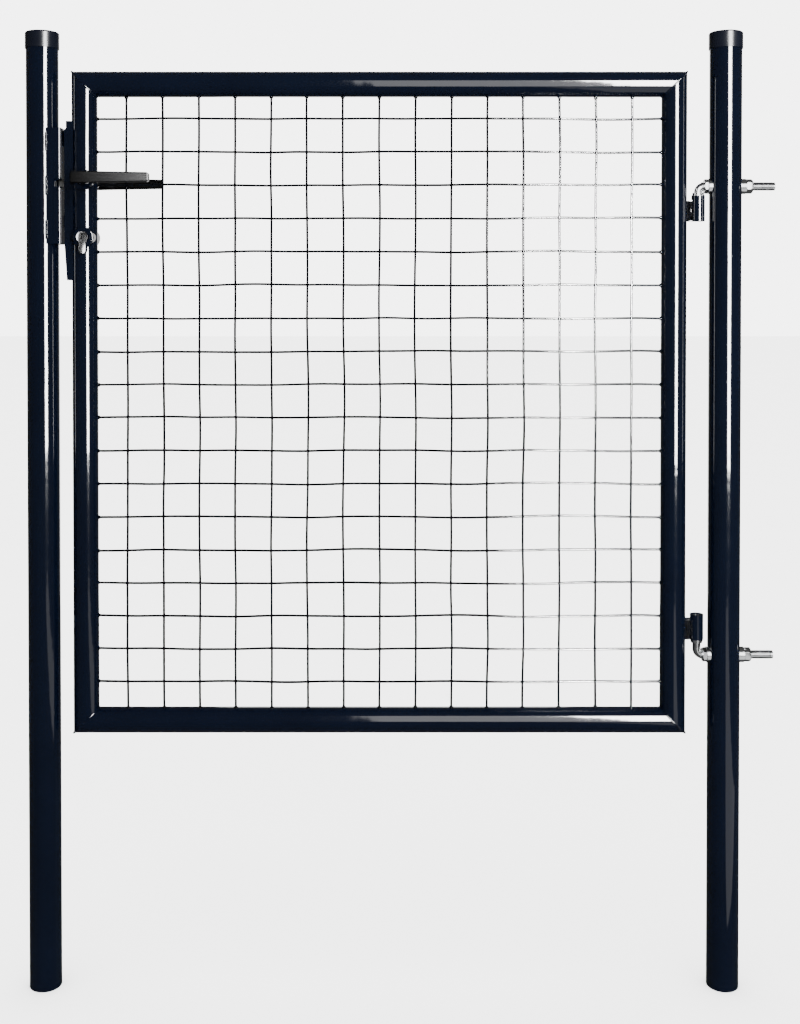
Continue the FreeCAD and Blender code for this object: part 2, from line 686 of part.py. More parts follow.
def lock_forend():
    """The channel that stands proud of the stile and faces the strike."""
    body = new_body("lock_forend", latch_stile_x, 0, spindle_z)
    face = forend_face
    rear = -tube_r / 2
    land = forend_rise - forend_top_land
    foot = forend_foot_land - forend_fall
    side = new_sketch(body, "XZ_Plane")
    outline(side, [
        (face, foot), (face, land), (face + forend_step, land + forend_ramp),
        (face + forend_step, forend_rise), (rear, forend_rise), (rear, -forend_fall),
        (face + forend_slant, -forend_fall)])
    pad(body, side, forend_width, symmetric=True)
    inner = face + forend_plate
    hollow = new_sketch(body, "XZ_Plane")
    outline(hollow, [
        (inner, foot), (inner, land - forend_plate), (rear + OVERCUT, land - forend_plate),
        (rear + OVERCUT, forend_plate - forend_fall),
        (inner + forend_slant, forend_plate - forend_fall)])
    pocket(body, hollow, forend_width - forend_side * 2, symmetric=True)
    saddle = new_sketch(body, "XY_Plane")
    circle(saddle, 0, 0, tube_r + wire_play)
    pocket(body, saddle, (forend_rise + forend_fall) * 2, symmetric=True)
    windows = new_sketch(body, "YZ_Plane")
    half = latch_height / 2 + fit_play
    rectangle(windows, -latch_thick / 2 - fit_play, latch_thick / 2 + fit_play,
              -latch_drop - half, -latch_drop + half)
    half = dead_height / 2 + fit_play
    rectangle(windows, -dead_thick / 2 - fit_play, dead_thick / 2 + fit_play,
              -dead_drop - half, -dead_drop + half)
    for height in (upper_screw_rise, -lower_screw_drop, -key_drop - fixing_drop):
        circle(windows, 0, height, screw_dia / 2 + wire_play)
    pocket(body, windows, -face + OVERCUT)
    for height in (upper_screw_rise, -lower_screw_drop, -key_drop - fixing_drop):
        seat = new_sketch(body, "YZ_Plane", forend_front(height) + head_sunk + head_thick)
        circle(seat, 0, height, screw_head / 2 + wire_play)
        pocket(body, seat, tube_dia)
    finished("lock_forend", body)


def lock_shell():
    """The case, a tray with its open side to the back, and the cover that closes it."""
    left = forend_face + forend_plate + wire_play
    foot = forend_foot_land - forend_fall
    drift = forend_front(-case_fall) - forend_face + wire_play * 2
    shape = [(left, foot), (left, case_rise), (case_rear, case_rise), (case_rear, -case_fall),
             (left + drift, -case_fall)]
    tray = case_width - case_wall
    body = new_body("lock_case", latch_stile_x, -case_wall / 2, spindle_z)
    block = new_sketch(body, "XZ_Plane")
    outline(block, shape)
    pad(body, block, tray, symmetric=True)
    hollow = new_sketch(body, "XZ_Plane", -case_wall)
    rectangle(hollow, left - OVERCUT, case_rear - case_wall, case_wall - case_fall,
              case_rise - case_wall)
    pocket(body, hollow, tray, symmetric=True)
    window = new_sketch(body, "XZ_Plane", -case_wall)
    cam_room = cam_reach + fit_play * 3
    rectangle(window, case_rear - case_wall * 2, case_rear + OVERCUT, -key_drop - cam_room,
              -key_drop + cam_room)
    pocket(body, window, tray, symmetric=True)
    cover = new_body("lock_cover", latch_stile_x, case_width / 2 - case_wall / 2, spindle_z)
    sheet_metal = new_sketch(cover, "XZ_Plane")
    outline(sheet_metal, shape)
    pad(cover, sheet_metal, case_wall, symmetric=True)
    for piece in (body, cover):
        bearing = new_sketch(piece, "XZ_Plane")
        circle(bearing, lock_shift, 0, hub_dia / 2 + hub_play)
        pocket(piece, bearing, tube_dia, symmetric=True)
        cylinder_cutout(piece, lock_shift, -key_drop, fit_play, tube_dia)
        finished(piece.Label, piece)


def latch_bolt():
    """The bevelled bolt with its tail: a riser, a strip over the hub, a lug and a spring ear."""
    back = lock_x - latch_stile_x
    tip = forend_face - latch_proud
    root = forend_face + latch_body
    x0 = latch_stile_x
    low = spindle_z - latch_drop - latch_height / 2
    block = box("latch_head", x0 + tip, -latch_thick / 2, low, root - tip, latch_thick,
                latch_height)
    corner = latch_thick / 2 - latch_bevel
    slope = box("latch_slope", x0 + tip, corner, low - OVERCUT, latch_proud * 2,
                latch_thick, latch_height + OVERCUT * 2)
    slope.Placement.Rotation = FreeCAD.Rotation(FreeCAD.Vector(0, 0, 1), BEVEL_ANGLE)
    head = less("latch_nose", block, [slope])
    plate_y = latch_thick / 2 - tail_plate
    strip_low = spindle_z + hub_dia / 2 + strip_rise
    strip_high = spindle_z + arm_radius + arm_nose + strip_cover
    riser = box("latch_riser", x0 + root - tail_plate, plate_y, low, tail_plate, tail_plate,
                strip_high - low)
    nose_x = x0 + back - arm_radius * math.sin(ARM_LEAN) + arm_nose + fit_play
    strip = box("latch_strip", x0 + root - tail_plate, plate_y, strip_low,
                nose_x + lug_thick - x0 - root + tail_plate, tail_plate, strip_high - strip_low)
    lug_low = spindle_z + arm_radius * math.cos(ARM_LEAN) + fit_play
    lug = box("latch_lug", nose_x, -arm_thick / 2, lug_low, lug_thick,
              plate_y + arm_thick / 2 + tail_plate, strip_high - lug_low)
    ear_x = x0 + root - tail_plate
    ear = box("latch_ear", ear_x, -spring_dia / 2, strip_high, tail_plate,
              spring_dia / 2 + latch_thick / 2, spring_dia + spring_lift * 2)
    finished("latch_bolt", fused("latch_bolt", [head, riser, strip, lug, ear]))


def latch_spring():
    """The spring that pushes the latch bolt out, from its ear to the case's rear."""
    start = latch_stile_x + forend_face + latch_body
    end = latch_stile_x + case_rear - case_wall
    high = spindle_z + arm_radius + arm_nose + strip_cover + spring_dia / 2 + spring_lift
    coil_r = (spring_dia - spring_wire) / 2
    margin = spring_wire / 2 + wire_play
    helix = doc.addObject("Part::Helix", "latch_spring_line")
    bind(helix, "Radius", coil_r)
    bind(helix, "Height", end - start - margin * 2)
    bind(helix, "Pitch", (end - start - margin * 2) / SPRING_TURNS)
    place(helix, start + margin, 0, high, ALONG_X)
    ring = doc.addObject("Part::Circle", "latch_spring_section")
    bind(ring, "Radius", spring_wire / 2)
    place(ring, start + margin, 0, high - coil_r, ALONG_Y)
    doc.recompute()
    coil = doc.addObject("Part::Sweep", "latch_spring")
    coil.Sections = [ring]
    coil.Spine = (helix, ["Edge%d" % (i + 1) for i in range(len(helix.Shape.Edges))])
    coil.Solid = True
    coil.Frenet = True
    finished("latch_spring", coil)


def deadbolt():
    """The deadbolt, slotted for its guide pin, and the pin."""
    tip = latch_stile_x + forend_face + dead_sunk
    low = spindle_z - dead_drop - dead_height / 2
    length = -forend_face + dead_tail
    bar = box("deadbolt_bar", tip, -dead_thick / 2, low, length, dead_thick, dead_height)
    pin_x = latch_stile_x + forend_face + forend_plate + guide_back
    half = guide_dia / 2 + fit_play
    slot = box("deadbolt_slot", pin_x - half, -dead_thick, spindle_z - dead_drop - half,
               dead_throw + half * 2, dead_thick * 2, half * 2)
    finished("deadbolt", less("deadbolt", bar, [slot]))
    inside = case_width / 2 - case_wall
    finished("deadbolt_guide_pin", rod("deadbolt_guide_pin", guide_dia / 2, inside * 2, pin_x,
                                       -inside, spindle_z - dead_drop, ALONG_Y))


def follower():
    """The hub on the spindle with the arm that draws the latch back."""
    length = case_width - fit_play
    hub = rod("follower_hub", hub_dia / 2, length, lock_x, -length / 2, spindle_z, ALONG_Y)
    lean = FreeCAD.Rotation(FreeCAD.Vector(0, 1, 0), -math.degrees(ARM_LEAN))
    arm = box("follower_arm", lock_x - arm_nose * math.cos(ARM_LEAN), -arm_thick / 2,
              spindle_z - arm_nose * math.sin(ARM_LEAN), arm_nose * 2, arm_thick, arm_radius)
    arm.Placement.Rotation = lean
    nose = rod("follower_nose", arm_nose, arm_thick, lock_x - arm_radius * math.sin(ARM_LEAN),
               -arm_thick / 2, spindle_z + arm_radius * math.cos(ARM_LEAN), ALONG_Y)
    solid = fused("follower_solid", [hub, arm, nose])
    hole = square + square_play * 2
    socket = box("follower_socket", lock_x - hole / 2, -case_width, spindle_z - hole / 2, hole,
                 case_width * 2, hole)
    finished("follower", less("follower", solid, [socket]))
    half = lever_stand - spindle_short
    finished("spindle", box("spindle", lock_x - square / 2, -half, spindle_z - square / 2,
                            square, half * 2, square))


def lever(label, way):
    """A lever handle on the front (way -1) or the rear (way 1) of the gate."""
    body = new_body(label, lock_x, way * lever_stand, spindle_z)
    grip = new_sketch(body, "XZ_Plane")
    hub = lever_hub_height / 2
    tip = lever_tip_height / 2
    outline(grip, [(-lever_back, -hub), (lever_reach, -tip), (lever_reach, tip),
                   (-lever_back, hub)])
    pad(body, grip, lever_thick, symmetric=True)
    across = number(lever_thick)
    soften(body, "Fillet", lever_round, lambda edge: edge.BoundBox.YLength > across - 1e-3)
    soften(body, "Fillet", lever_edge, lambda edge: edge.BoundBox.YLength < 1e-3)
    length = lever_stand - tube_r - neck_lift
    neck = new_sketch(body, "XZ_Plane")
    circle(neck, 0, 0, neck_dia / 2)
    pad(body, neck, length, reverse=way < 0)
    socket = new_sketch(body, "XZ_Plane")
    half = square / 2 + square_play
    rectangle(socket, -half, half, -half, half)
    pocket(body, socket, length + OVERCUT, reverse=way > 0)
    threads = new_sketch(body, "XY_Plane")
    circle(threads, 0, -way * (lever_thick / 2 + neck_dia / 2), screw_dia / 2 + wire_play)
    pocket(body, threads, neck_dia)
    finished(label, body)


def grub_screws():
    """A set screw under each lever's neck that bears on the spindle."""
    pieces = []
    length = neck_dia / 2 - square / 2 - wire_play * 2
    for name, way in (("front", -1), ("rear", 1)):
        place_y = way * (lever_stand - lever_thick / 2 - neck_dia / 2)
        screw = rod(name + "_grub", screw_dia / 2, length, lock_x, place_y,
                    spindle_z - neck_dia / 2)
        pieces.append(screw)
    finished("lever_grub_screws", group("lever_grub_screws", pieces))


def rose(label, way, height, for_lever):
    """A round boss seated on the stile's crown."""
    body = new_body(label, lock_x, 0, height)
    root = tube_r / 4
    disc = new_sketch(body, "XZ_Plane", root if way < 0 else -crown)
    circle(disc, 0, 0, rose_dia / 2)
    pad(body, disc, crown - root)
    edge_y = number(crown)
    soften(body, "Fillet", rose_round, lambda edge: edge.BoundBox.YLength < 1e-3
           and abs(abs(middle(edge).y) - edge_y) < 1e-3)
    saddle = new_sketch(body, "XY_Plane")
    circle(saddle, -lock_shift, 0, tube_r + wire_play)
    pocket(body, saddle, rose_dia * 2, symmetric=True)
    if for_lever:
        bore = new_sketch(body, "XZ_Plane")
        circle(bore, 0, 0, neck_dia / 2 + hub_play)
        pocket(body, bore, crown * 3, symmetric=True)
    else:
        cylinder_cutout(body, 0, 0, fit_play, crown * 3)
    finished(label, body)


def key_cylinder():
    """The double key cylinder, its two plugs and the cam between them."""
    body = new_body("key_cylinder", lock_x, 0, key_z)
    lobe_r = cylinder_web / 2
    lobe_up = cylinder_round / 2 - cylinder_height + lobe_r
    for up, radius in ((0, cylinder_round / 2), (lobe_up, lobe_r)):
        ring = new_sketch(body, "XZ_Plane")
        circle(ring, 0, up, radius)
        pad(body, ring, cylinder_length, symmetric=True)
        if up == 0:
            web = new_sketch(body, "XZ_Plane")
            rectangle(web, -lobe_r, lobe_r, lobe_up, 0)
            pad(body, web, cylinder_length, symmetric=True)
    bore = new_sketch(body, "XZ_Plane")
    circle(bore, 0, 0, plug_dia / 2 + plug_play)
    pocket(body, bore, cylinder_length * 2, symmetric=True)
    gap = new_sketch(body, "XZ_Plane")
    rectangle(gap, -cylinder_round, cylinder_round, -cam_reach - fit_play * 2, cylinder_round)
    pocket(body, gap, cam_gap, symmetric=True)
    thread = new_sketch(body, "YZ_Plane")
    circle(thread, 0, -fixing_drop, screw_dia / 2 + wire_play)
    pocket(body, thread, cylinder_web * 2, symmetric=True)
    finished("key_cylinder", body)
    cam_half = cam_gap / 2 - cam_play
    for label, way in (("front_plug", -1), ("rear_plug", 1)):
        plug = new_body(label, lock_x, 0, key_z)
        disc = new_sketch(plug, "XZ_Plane", -way * cam_half)
        circle(disc, 0, 0, plug_dia / 2)
        length = cylinder_length / 2 + fit_play - cam_half
        pad(plug, disc, length, reverse=way > 0)
        keyway = new_sketch(plug, "XZ_Plane", -way * (cylinder_length / 2 + OVERCUT))
        keyway_low = plug_dia / 2 - keyway_rim - keyway_height
        rectangle(keyway, -keyway_width / 2, keyway_width / 2, keyway_low,
                  keyway_low + keyway_height)
        pocket(plug, keyway, keyway_depth, reverse=way > 0)
        finished(label, plug)
    ring = rod("cam_ring", plug_dia / 2 + cam_ring_wall, cam_half * 2, lock_x, -cam_half, key_z,
               ALONG_Y)
    blank = box("cam_blank", lock_x - cam_width / 2, -cam_half, key_z - cam_reach, cam_width,
                cam_half * 2, cam_reach)
    swing = rod("cam_swing", cam_reach, cam_half * 2, lock_x, -cam_half, key_z, ALONG_Y)
    nose = doc.addObject("Part::Common", "cam_nose")
    nose.Base = blank
    nose.Tool = swing
    finished("key_cam", fused("key_cam", [ring, nose]))


def lock_screw(name, height, end):
    """A screw through the forend at a height above the spindle, up to end from the stile axis."""
    head_x = forend_front(height) + head_sunk
    head = rod(name + "_head", screw_head / 2, head_thick, latch_stile_x + head_x, 0,
               spindle_z + height, ALONG_X)
    shank = rod(name + "_shank", screw_dia / 2, end - head_x, latch_stile_x + head_x, 0,
                spindle_z + height, ALONG_X)
    return fused(name, [head, shank])


def lock_screws():
    """Two screws hold the forend, and one fixes the key cylinder."""
    bite = -tube_r + tube_wall * 4
    pieces = [lock_screw("upper_forend_screw", upper_screw_rise, bite),
              lock_screw("lower_forend_screw", -lower_screw_drop, bite)]
    finished("forend_screws", group("forend_screws", pieces))
    fixing = lock_screw("cylinder_screw", -key_drop - fixing_drop, lock_shift + cylinder_web / 2)
    finished("cylinder_screw", fixing)


hinge_post()
latch_post()
post_cap("hinge_post_cap", 0)
post_cap("latch_post_cap", -post_spacing)
strike_bracket()
hinge_hook("upper_hinge_hook", upper_rod_z, upper_seat, -1)
hinge_hook("lower_hinge_hook", lower_rod_z, lower_seat, 1)
thrust_washers()
hook_washers("inner_saddle_washers", -1, saddle_thick)
hook_washers("outer_saddle_washers", 1, outer_saddle)
hook_nuts("inner_hook_nuts", -post_r - saddle_thick - inner_nut - wire_play, inner_nut)
hook_nuts("outer_hook_nuts", post_r + outer_saddle + wire_play, outer_nut)
barrel("upper_barrel", upper_barrel_z)
barrel("lower_barrel", lower_barrel_z)
hinge_straps()
leaf_frame()
mesh_wires()
lock_forend()
lock_shell()
latch_bolt()
latch_spring()
deadbolt()
follower()
lever("front_lever", -1)
lever("rear_lever", 1)
grub_screws()
rose("front_lever_rose", -1, spindle_z, True)
rose("rear_lever_rose", 1, spindle_z, True)
rose("front_key_rose", -1, key_z, False)
rose("rear_key_rose", 1, key_z, False)
key_cylinder()
lock_screws()

doc.recompute()


# ---- checks and files -------------------------------------------------------------------
def write_nodes():
    for item in doc.Objects:
        if "Invalid" in item.State or "Error" in item.State:
            raise ValueError("%s failed: %s" % (item.Label, item.State))
    for label, item in nodes.items():
        if item.Shape.isNull() or not item.Shape.isValid() or not item.Shape.Solids:
            raise ValueError("%s has no sound shape" % label)
    os.makedirs("parts", exist_ok=True)
    for label, item in nodes.items():
        item.Shape.exportStep("parts/%s.step" % label)
        print("%-24s %2d solids %10.1f mm3" % (label, len(item.Shape.Solids), item.Shape.Volume))


write_nodes()
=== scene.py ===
"""The garden gate's looks: its finishes, and its welds, threads, nuts, screws and bent wires."""

import json
import math

import bpy
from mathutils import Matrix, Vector

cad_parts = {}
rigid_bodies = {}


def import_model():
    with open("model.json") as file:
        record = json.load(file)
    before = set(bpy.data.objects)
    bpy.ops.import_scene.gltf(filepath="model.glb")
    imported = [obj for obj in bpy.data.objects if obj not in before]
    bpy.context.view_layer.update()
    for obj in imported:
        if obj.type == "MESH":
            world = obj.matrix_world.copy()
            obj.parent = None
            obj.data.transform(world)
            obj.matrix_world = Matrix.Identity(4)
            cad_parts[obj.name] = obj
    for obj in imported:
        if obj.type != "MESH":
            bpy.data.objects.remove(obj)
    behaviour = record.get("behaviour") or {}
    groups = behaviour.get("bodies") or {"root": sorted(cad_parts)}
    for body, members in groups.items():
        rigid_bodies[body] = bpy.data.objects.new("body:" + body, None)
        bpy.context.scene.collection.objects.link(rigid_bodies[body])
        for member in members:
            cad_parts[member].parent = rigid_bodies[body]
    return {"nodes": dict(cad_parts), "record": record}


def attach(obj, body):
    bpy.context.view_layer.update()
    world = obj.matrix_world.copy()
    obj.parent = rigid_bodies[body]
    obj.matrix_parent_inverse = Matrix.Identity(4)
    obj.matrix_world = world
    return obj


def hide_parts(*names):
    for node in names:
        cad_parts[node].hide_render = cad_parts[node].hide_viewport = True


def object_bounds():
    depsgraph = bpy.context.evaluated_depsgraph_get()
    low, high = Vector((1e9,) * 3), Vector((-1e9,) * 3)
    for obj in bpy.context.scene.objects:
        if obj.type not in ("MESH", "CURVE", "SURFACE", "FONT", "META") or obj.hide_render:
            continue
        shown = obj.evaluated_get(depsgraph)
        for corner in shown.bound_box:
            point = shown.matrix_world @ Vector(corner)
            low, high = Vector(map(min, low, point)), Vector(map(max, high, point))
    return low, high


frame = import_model()
CAD_BOX = [list(corner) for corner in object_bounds()]

bl_info = {
    "name": "Garden Gate",
    "version": (1, 0, 0),
    "blender": (4, 5, 0),
    "location": "3D View > Sidebar > Gate",
    "description": "Details and finishes of a tubular garden gate with a wire panel",
    "category": "Object",
}

MM = 0.001
LYING = (0, math.pi / 2, 0)     # turns a standing primitive along X
TINY = 0.1 * MM                 # tells apart points that should lie in one plane

# Shading: an edge sharper than this many degrees stays sharp
CRISP = 30
RIPPLED = 70
ROUND = 80

# Wire panel
UPRIGHT_WIRES = 15
LEVEL_WIRES = 18
WIRE_COAT = 1.2                 # radius of the painted wire over the bare wire's
WIRE_CUTS = 96
SPOT_DEPTH = 1.15               # a spot weld's depth over its width
END_DEPTH = 0.85                # an end weld's depth over its width
WANDER = (("X", 0.16, 0.75), ("Y", 0.21, 1), ("Z", 0.13, 1))    # way, wave size, share

# Welds, as shares of the bead's radius unless they say otherwise
RIPPLE_PITCH = 0.62
RIPPLE_THICK = 0.5
BEAD_PROUD = 0.35               # how far a bead's middle stands off the strap's edge
HINGE_LEAN = 0.45               # radians
STRIKE_LEAN = 0.4               # radians
STITCH_RADIUS = 0.8
STITCH_PLACES = (0.04, 0.42, 0.8)   # shares of the bracket's height
STITCHES_HIGH = 6               # stitch lengths in the bracket's height
STITCH_INSET = 0.5 * MM         # from the bracket's outer face
SEAM_SINK = 0.985               # share of the mitre's width, so that the seam sinks in

# Threads, nuts and screws
THREAD_ROOT = 0.2 * MM          # how deep the ridge starts inside the rod
THREAD_WIDE = 0.96              # the ridge's foot, as a share of the pitch
THREAD_STEPS = 24
THREAD_SHOWN = 5 * MM           # thread on the hook's side of an inner nut
NUT_OVERLAP = 1 * MM            # thread that runs on under a nut
NUT_GAP = 0.2 * MM
NUT_EDGE = 0.15 * MM
HEAD_THICK = 1.3 * MM
HEAD_ROUND = 0.45 * MM
HEAD_EDGE = 0.08 * MM
SHANK_SHARE = 0.55              # of the head's radius
CROSS_BLADES = ((0.25, 1.1), (1.1, 0.25))   # width and height, shares of the head's radius
SET_SCREW_CHAMFER = 0.3 * MM
SOCKET_SHARE = 0.58             # of the set screw's radius

# Edges of the frame's own pieces
SOFT_EDGE = 0.4 * MM
SOFT_STEPS = 3
SOFT_ANGLE = 50                 # degrees

# Stage
FLOOR_SIZE = 60
FLOOR_GAP = 0.2 * MM
SURROUND = 5.5
SURROUND_IN_GLOSS = 0.08
LENS = 44.2
SHIFT = (0.0151, -0.193)
CAMERA_PLACE = (-0.0236, -1.9, 1.05)    # from the middle of the object on the ground
CAMERA_DIP = 0.89               # degrees


# ---- places read from the frame -----------------------------------------------------------
def part_box(node, wanted=lambda point: True):
    """Lowest and highest corner of the points of a frame node that pass a test."""
    points = [v.co for v in frame["nodes"][node].data.vertices if wanted(v.co)]
    low = Vector([min(point[i] for point in points) for i in range(3)])
    high = Vector([max(point[i] for point in points) for i in range(3)])
    return low, high


def middle_of(node, wanted=lambda point: True):
    """Middle of the box that part_box finds."""
    low, high = part_box(node, wanted)
    return (low + high) / 2


# ---- the sizes and colours a user would change --------------------------------------------
class GateFinish(bpy.types.PropertyGroup):
    paint_colour: bpy.props.FloatVectorProperty(
        name="Paint", description="Powder coat of the tubes and posts", subtype="COLOR",
        size=3, min=0, max=1, default=(0.00025, 0.0005, 0.0014))
    wire_colour: bpy.props.FloatVectorProperty(
        name="Wire paint", description="Powder coat of the wire panel", subtype="COLOR",
        size=3, min=0, max=1, default=(0.0005, 0.0007, 0.0012))
    cap_colour: bpy.props.FloatVectorProperty(
        name="Caps", description="Moulded post caps", subtype="COLOR",
        size=3, min=0, max=1, default=(0.0007, 0.0009, 0.0018))
    zinc_colour: bpy.props.FloatVectorProperty(
        name="Zinc", description="Plated hinge hooks, nuts and screws", subtype="COLOR",
        size=3, min=0, max=1, default=(0.75, 0.76, 0.77))
    steel_colour: bpy.props.FloatVectorProperty(
        name="Steel", description="Bolts and inner lock parts", subtype="COLOR",
        size=3, min=0, max=1, default=(0.2, 0.2, 0.2))
    lever_colour: bpy.props.FloatVectorProperty(
        name="Levers", description="Satin metal of the lever handles", subtype="COLOR",
        size=3, min=0, max=1, default=(0.0022, 0.0022, 0.0023))
    cylinder_colour: bpy.props.FloatVectorProperty(
        name="Key cylinder", description="Polished nickel of the key cylinder", subtype="COLOR",
        size=3, min=0, max=1, default=(0.6, 0.6, 0.61))
    floor_colour: bpy.props.FloatVectorProperty(
        name="Floor", description="Studio floor", subtype="COLOR",
        size=3, min=0, max=1, default=(0.89, 0.89, 0.89))
    paint_roughness: bpy.props.FloatProperty(
        name="Paint roughness", description="How blurred the coat's reflections are",
        min=0, max=1, default=0.07)


class GateSizes(bpy.types.PropertyGroup):
    wire_waviness: bpy.props.FloatProperty(
        name="Wire waviness", description="How far the wires wander", subtype="DISTANCE",
        unit="LENGTH", default=5 * MM)
    wire_entry: bpy.props.FloatProperty(
        name="Wire entry", description="Wire that runs on into the frame tube",
        subtype="DISTANCE", unit="LENGTH", default=3 * MM)
    spot_radius: bpy.props.FloatProperty(
        name="Spot weld", description="Radius of the weld where two wires cross",
        subtype="DISTANCE", unit="LENGTH", default=2.3 * MM)
    end_radius: bpy.props.FloatProperty(
        name="End weld", description="Radius of the weld at a wire's end",
        subtype="DISTANCE", unit="LENGTH", default=3.1 * MM)
    bead_radius: bpy.props.FloatProperty(
        name="Weld bead", description="Radius of a weld bead", subtype="DISTANCE",
        unit="LENGTH", default=2.6 * MM)
    seam_radius: bpy.props.FloatProperty(
        name="Mitre seam", description="Radius of the weld round a mitred corner",
        subtype="DISTANCE", unit="LENGTH", default=1.3 * MM)
    thread_pitch: bpy.props.FloatProperty(
        name="Thread pitch", description="Pitch of the thread on the hinge rods",
        subtype="DISTANCE", unit="LENGTH", default=1.75 * MM)
    thread_height: bpy.props.FloatProperty(
        name="Thread height", description="How far the thread stands over the rod",
        subtype="DISTANCE", unit="LENGTH", default=0.45 * MM)
    nut_chamfer: bpy.props.FloatProperty(
        name="Nut chamfer", description="Chamfer on the corners of the nuts",
        subtype="DISTANCE", unit="LENGTH", default=1.3 * MM)
    recess_depth: bpy.props.FloatProperty(
        name="Screw recess", description="Depth of the driver recess in the screws",
        subtype="DISTANCE", unit="LENGTH", default=1 * MM)


# ---- modelling by hand --------------------------------------------------------------------
def clear():
    """Object mode with nothing selected."""
    if bpy.context.object and bpy.context.object.mode != "OBJECT":
        bpy.ops.object.mode_set(mode="OBJECT")
    bpy.ops.object.select_all(action="DESELECT")


def solo(piece):
    """Object mode with one piece selected and active."""
    clear()
    piece.select_set(True)
    bpy.context.view_layer.objects.active = piece


def settle(piece):
    """Put a piece's place, turn and size into its mesh."""
    solo(piece)
    bpy.ops.object.transform_apply(location=True, rotation=True, scale=True)


def start(kind, name, stretch=(1, 1, 1), **settings):
    """Add a primitive at its size and place."""
    clear()
    getattr(bpy.ops.mesh, "primitive_%s_add" % kind)(**settings)
    piece = bpy.context.object
    piece.name = name
    piece.data.name = name
    piece.scale = [piece.scale[i] * stretch[i] for i in range(3)]
    settle(piece)
    return piece


def edit(piece, kind, wanted):
    """Edit mode with the faces, edges or points that pass a test selected."""
    solo(piece)
    bpy.ops.object.mode_set(mode="EDIT")
    bpy.ops.mesh.select_mode(type=kind)
    bpy.ops.mesh.select_all(action="DESELECT")
    bpy.ops.object.mode_set(mode="OBJECT")
    points = piece.data.vertices
    if kind == "FACE":
        for face in piece.data.polygons:
            face.select = wanted(face.center, face.normal)
    elif kind == "EDGE":
        for edge in piece.data.edges:
            first, second = edge.vertices
            edge.select = wanted(points[first].co, points[second].co)
    else:
        for point in points:
            point.select = wanted(point.co)
    bpy.ops.object.mode_set(mode="EDIT")


def clean(piece):
    """Close seams and turn every face outwards."""
    edit(piece, "VERT", lambda point: True)
    bpy.ops.mesh.remove_doubles(threshold=1e-6)
    bpy.ops.mesh.normals_make_consistent(inside=False)
    clear()


def modify(piece, kind, **settings):
    """Add a modifier, set it and apply it."""
    modifier = piece.modifiers.new(kind.lower(), kind)
    for name, value in settings.items():
        setattr(modifier, name, value)
    solo(piece)
    bpy.ops.object.modifier_apply(modifier=modifier.name)


def repeat(piece, count, step):
    """Copy a piece along a line, all copies in its own mesh."""
    modify(piece, "ARRAY", count=count, use_relative_offset=False, use_constant_offset=True,
           constant_offset_displace=step)


def combine(piece, tool, operation):
    """Cut, add or keep what a second piece covers, and delete that piece."""
    modify(piece, "BOOLEAN", operation=operation, object=tool, solver="EXACT")
    bpy.data.objects.remove(tool)


def joined(name, pieces):
    """One piece made of several."""
    clear()
    for piece in pieces:
        piece.select_set(True)
    bpy.context.view_layer.objects.active = pieces[0]
    bpy.ops.object.join()
    whole = bpy.context.object
    whole.name = name
    whole.data.name = name
    settle(whole)
    return whole


def clouds(piece, name, size, height, direction, depth):
    """Move a piece's points by a cloud pattern, which is fixed in space."""
    pattern = bpy.data.textures.new(name, "CLOUDS")
    pattern.noise_scale = size
    pattern.noise_depth = depth
    modify(piece, "DISPLACE", texture=pattern, strength=height, mid_level=0.5,
           direction=direction, texture_coords="LOCAL")


def roughen(piece, name, size, height):
    """Uneven surface of a weld."""
    clouds(piece, name, size, height, "NORMAL", depth=2)


def show(piece, body, finish, angle=40):
    """Shade a piece, give it its finish and let it move with its body."""
    solo(piece)
    bpy.ops.object.shade_smooth_by_angle(angle=math.radians(angle))
    piece.data.materials.clear()
    piece.data.materials.append(finish)
    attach(piece, body)
    clear()


# ---- finishes -----------------------------------------------------------------------------
class Value:
    """A socket in a finish. Arithmetic on it adds Math nodes."""

    def __init__(self, finish, socket):
        self.finish = finish
        self.socket = socket

    def maths(self, operation, *others):
        return self.finish.add("Math", {"operation": operation}, {
            i: value for i, value in enumerate(others)})

    def __add__(self, other):
        return self.maths("ADD", self, other)

    def __radd__(self, other):
        return self.maths("ADD", other, self)

    def __sub__(self, other):
        return self.maths("SUBTRACT", self, other)

    def __mul__(self, other):
        return self.maths("MULTIPLY", self, other)

    def __rmul__(self, other):
        return self.maths("MULTIPLY", other, self)

    def clamped(self, low, high):
        return self.finish.add("Clamp", {}, {0: self, 1: low, 2: high})


